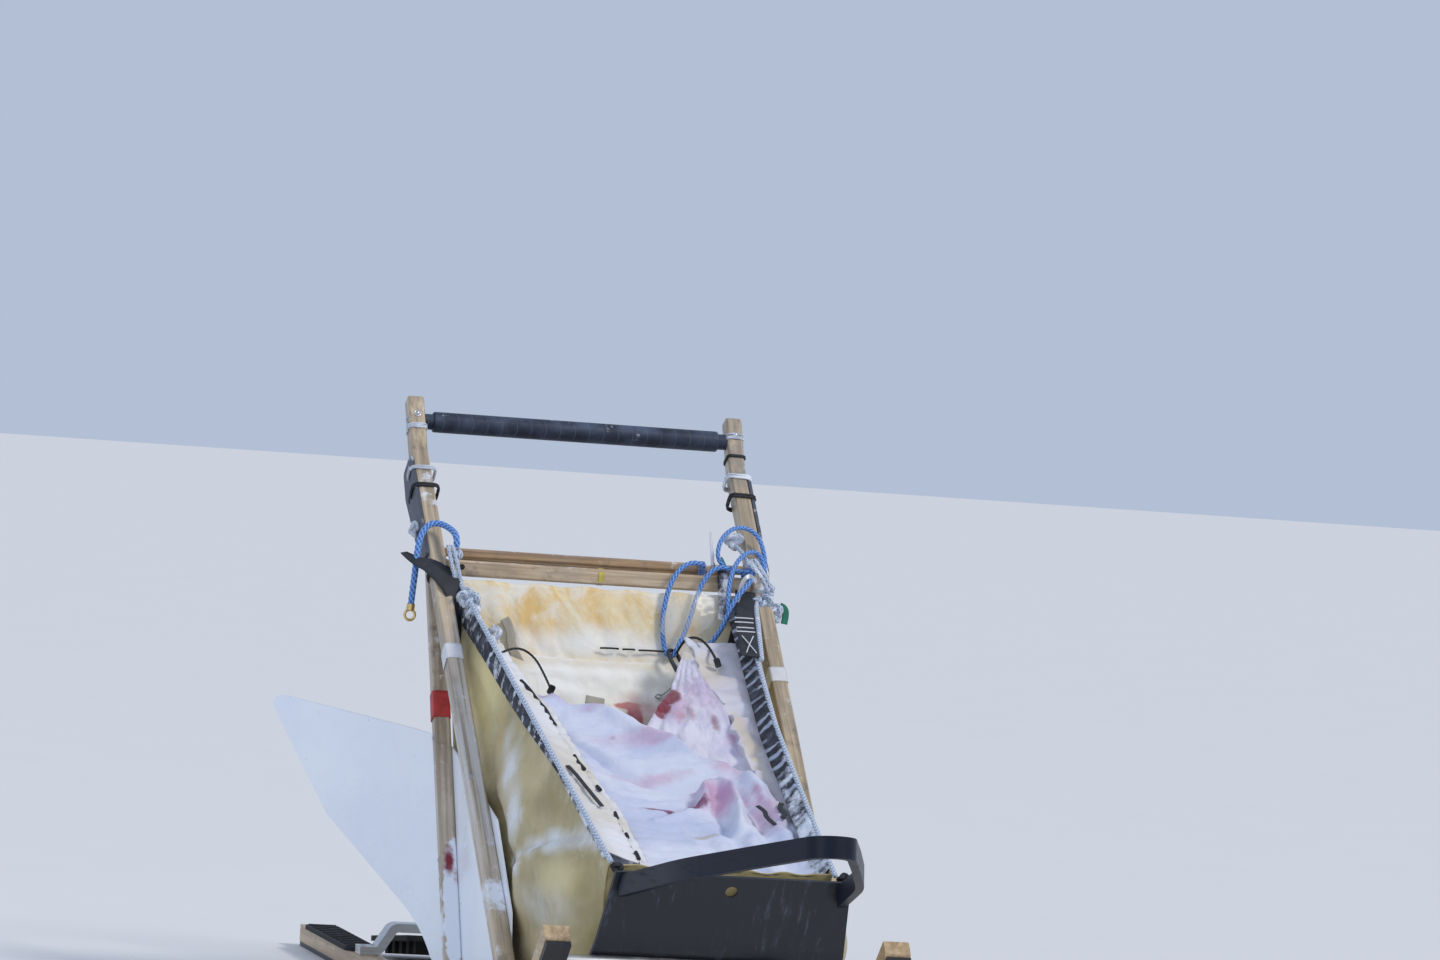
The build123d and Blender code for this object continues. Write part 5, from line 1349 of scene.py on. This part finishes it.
# Clear pouch: its outline, filled towards the middle and blown out a little
POUCH = np.array([
    (89, -352, 603), (96, -342, 632), (116, -334, 656), (151, -330, 671), (180, -332, 660),
    (184, -342, 636), (168, -350, 612), (132, -358, 588), (104, -356, 592), (89, -352, 603),
], float)
share = np.linspace(0, len(POUCH) - 1, 97)
outline = np.stack([np.interp(share, range(len(POUCH)), column) for column in POUCH.T], -1)
out = np.linspace(0.04, 1, 16)
middle = POUCH[:-1].mean(0)
grid = middle + (outline[:, None, :] - middle) * out[None, :, None]
grid[..., 1] -= 9.0 * (1 - out**2) + 2.0 * cloud(grid, 0.03, 4.0)
cloth("clear_pouch", grid, 0.8, "clear_film")

# Cord locks with their cords, a wire hook, a buckle
CORD_RIGHT = [
    (-196, -508, 562), (-177, -488, 569), (-158, -488, 569), (-143, -506, 558), (-137, -545, 538),
    (-133, -578, 518),
]
CORD_LEFT = [
    (112, -380, 572), (116, -398, 592), (128, -408, 600), (141, -418, 597), (149, -450, 583),
    (147, -490, 570),
]
HOOK = [(120, -378, 560), (117, -383, 547), (113, -386, 527), (99, -391, 512), (88, -393, 505)]
block("white_tie_head_left", (180, -304, 711), (7, 4, 7), "white_tape")
lock_right = block("cord_lock_right", (-132, -584, 514), (9, 8, 14), "black_strap", (0.3, 0.3, 0), 2.0, cut=2)
lock_left = block("cord_lock_left", (147, -500, 566), (9, 8, 14), "black_strap", (0.1, -0.4, 0), 2.0, cut=2)
block("buckle_left", (213, -357, 600), (24, 7, 26), "black_strap", (0.3, 0.1, 0), 2.0, cut=4)
free_cord("black_cord_right", CORD_RIGHT, 1.8, "black_cord", 3)
free_cord("black_cord_left", CORD_LEFT, 2.0, "black_cord", 3)
cord_piece("wire_hook_left", HOOK, 1.3, "bolt_metal")
EYE = (84, -393.5, 503.5)
angle = np.linspace(0, 2 * pi, 40)
eye = np.stack([EYE[0] + 4.5 * np.cos(angle), np.full(40, EYE[1]), EYE[2] + 3.2 * np.sin(angle)], 1)
piece("wire_eye_left", tube_mesh(place(eye), 0.0012, 10, closed=True), "bolt_metal")


def fastener(centre, axis, radius, tall, washer=1.6):
    """A domed bolt head on a washer. axis points out of the surface."""
    wide = radius * washer
    profile = [
        (0, tall), (radius * 0.5, tall * 0.94), (radius * 0.86, tall * 0.66), (radius, tall * 0.25),
        (radius, 0.9), (wide, 0.9), (wide + 0.3, 0.5), (wide + 0.3, 0.05),
    ]
    spokes = 20
    angle = np.linspace(0, 2 * pi, spokes, endpoint=False)
    c, s, flat = np.cos(angle), np.sin(angle), np.ones(spokes)
    base = np.stack([np.stack([r * c, r * s, h * flat], 1) for r, h in profile])
    turn = np.array(Vector(axis).normalized().to_track_quat("Z", "Y").to_matrix())
    return round_mesh(place(base.reshape(-1, 3) @ turn.T + np.array(centre)), len(profile), spokes)


TAIL_BRIDGE = 75
BRIDGES = (-930, -700, -475, TAIL_BRIDGE)
POST_SIDE, LEG_FRONT, PLATE_SIDE = 13.1, 15.1, 275.9
FOOT_TOP, DECK_UNDER = 50.7, 75.6
bolts = []
for side in (-1, 1):
    bolts.append(fastener(on_leg(side, 907, 0, LEG_FRONT), (0, -0.848, 0.53), 3.6, 3.2))
    for z in (902, 690):
        bolts.append(fastener(on_leg(side, z, POST_SIDE), (side, 0, 0), 4.2, 3.4))
    for z in (420, 240):
        bolts.append(fastener(on_stanchion(side, z, POST_SIDE), (side, 0, 0), 3.2, 2.6))
    for y in BRIDGES:
        for x, ahead in ((240, 8), (260, -8)):
            bolts.append(fastener((side * x, y + ahead, FOOT_TOP), (0, 0, 1), 3.2, 2.6))
        for x in () if y == TAIL_BRIDGE else (60, 150):
            bolts.append(fastener((side * x, y, DECK_UNDER), (0, 0, -1), 3.0, 2.4))
    for t in (25, 45):
        bolts.append(fastener((side * PLATE_SIDE, -130 - t, 795 - t * 1.4), (side, 0, 0), 2.6, 2.2))
piece("bolts", join(bolts), "bolt_metal")
front = node_box("lower_crosspiece")[0][1]
piece("bolt_socket_right", fastener((-221.2, front - 0.1, 682.1), (0, -1, 0), 3.4, 1.0, 1.25), "black_cord")

# Stage
STAGE = 60
floor = bpy.data.meshes.new("floor")
corners = [(x * STAGE, y * STAGE, 0) for x, y in ((-1, -1), (1, -1), (1, 1), (-1, 1))]
floor.from_pydata(corners, [], [(0, 1, 2, 3)])
ground = Paint("floor", 0.9)
ground.done(ground.mix(ground.noise(3, 2), (0.80, 0.79, 0.78), (0.82, 0.81, 0.80)))
floor.materials.append(M["floor"])
link("floor", floor)

world = bpy.data.worlds.new("world")
world.use_nodes = True
sky = world.node_tree.nodes["Background"]
sky.inputs["Color"].default_value = (0.68, 0.79, 1.0, 1)
sky.inputs["Strength"].default_value = 0.66
scene.world = world

for name, kind, spread, location, target_z, energy, size, colour in (
    ("sun", "SUN", "angle", (3.0, -2.6, 4.0), 0.4, 1.4, radians(14), (1.0, 0.95, 0.86)),
    ("fill", "AREA", "size", (-3.2, -3.5, 2.6), 0.5, 40, 2.5, (0.78, 0.87, 1.0)),
):
    data = bpy.data.lights.new(name, kind)
    data.energy = energy
    data.color = colour
    setattr(data, spread, size)
    aim = Vector((0, 0, target_z)) - Vector(location)
    turned = aim.to_track_quat("-Z", "Y").to_matrix().to_4x4()
    link(name, data).matrix_world = Matrix.Translation(Vector(location)) @ turned
scene.view_settings.view_transform = "Standard"
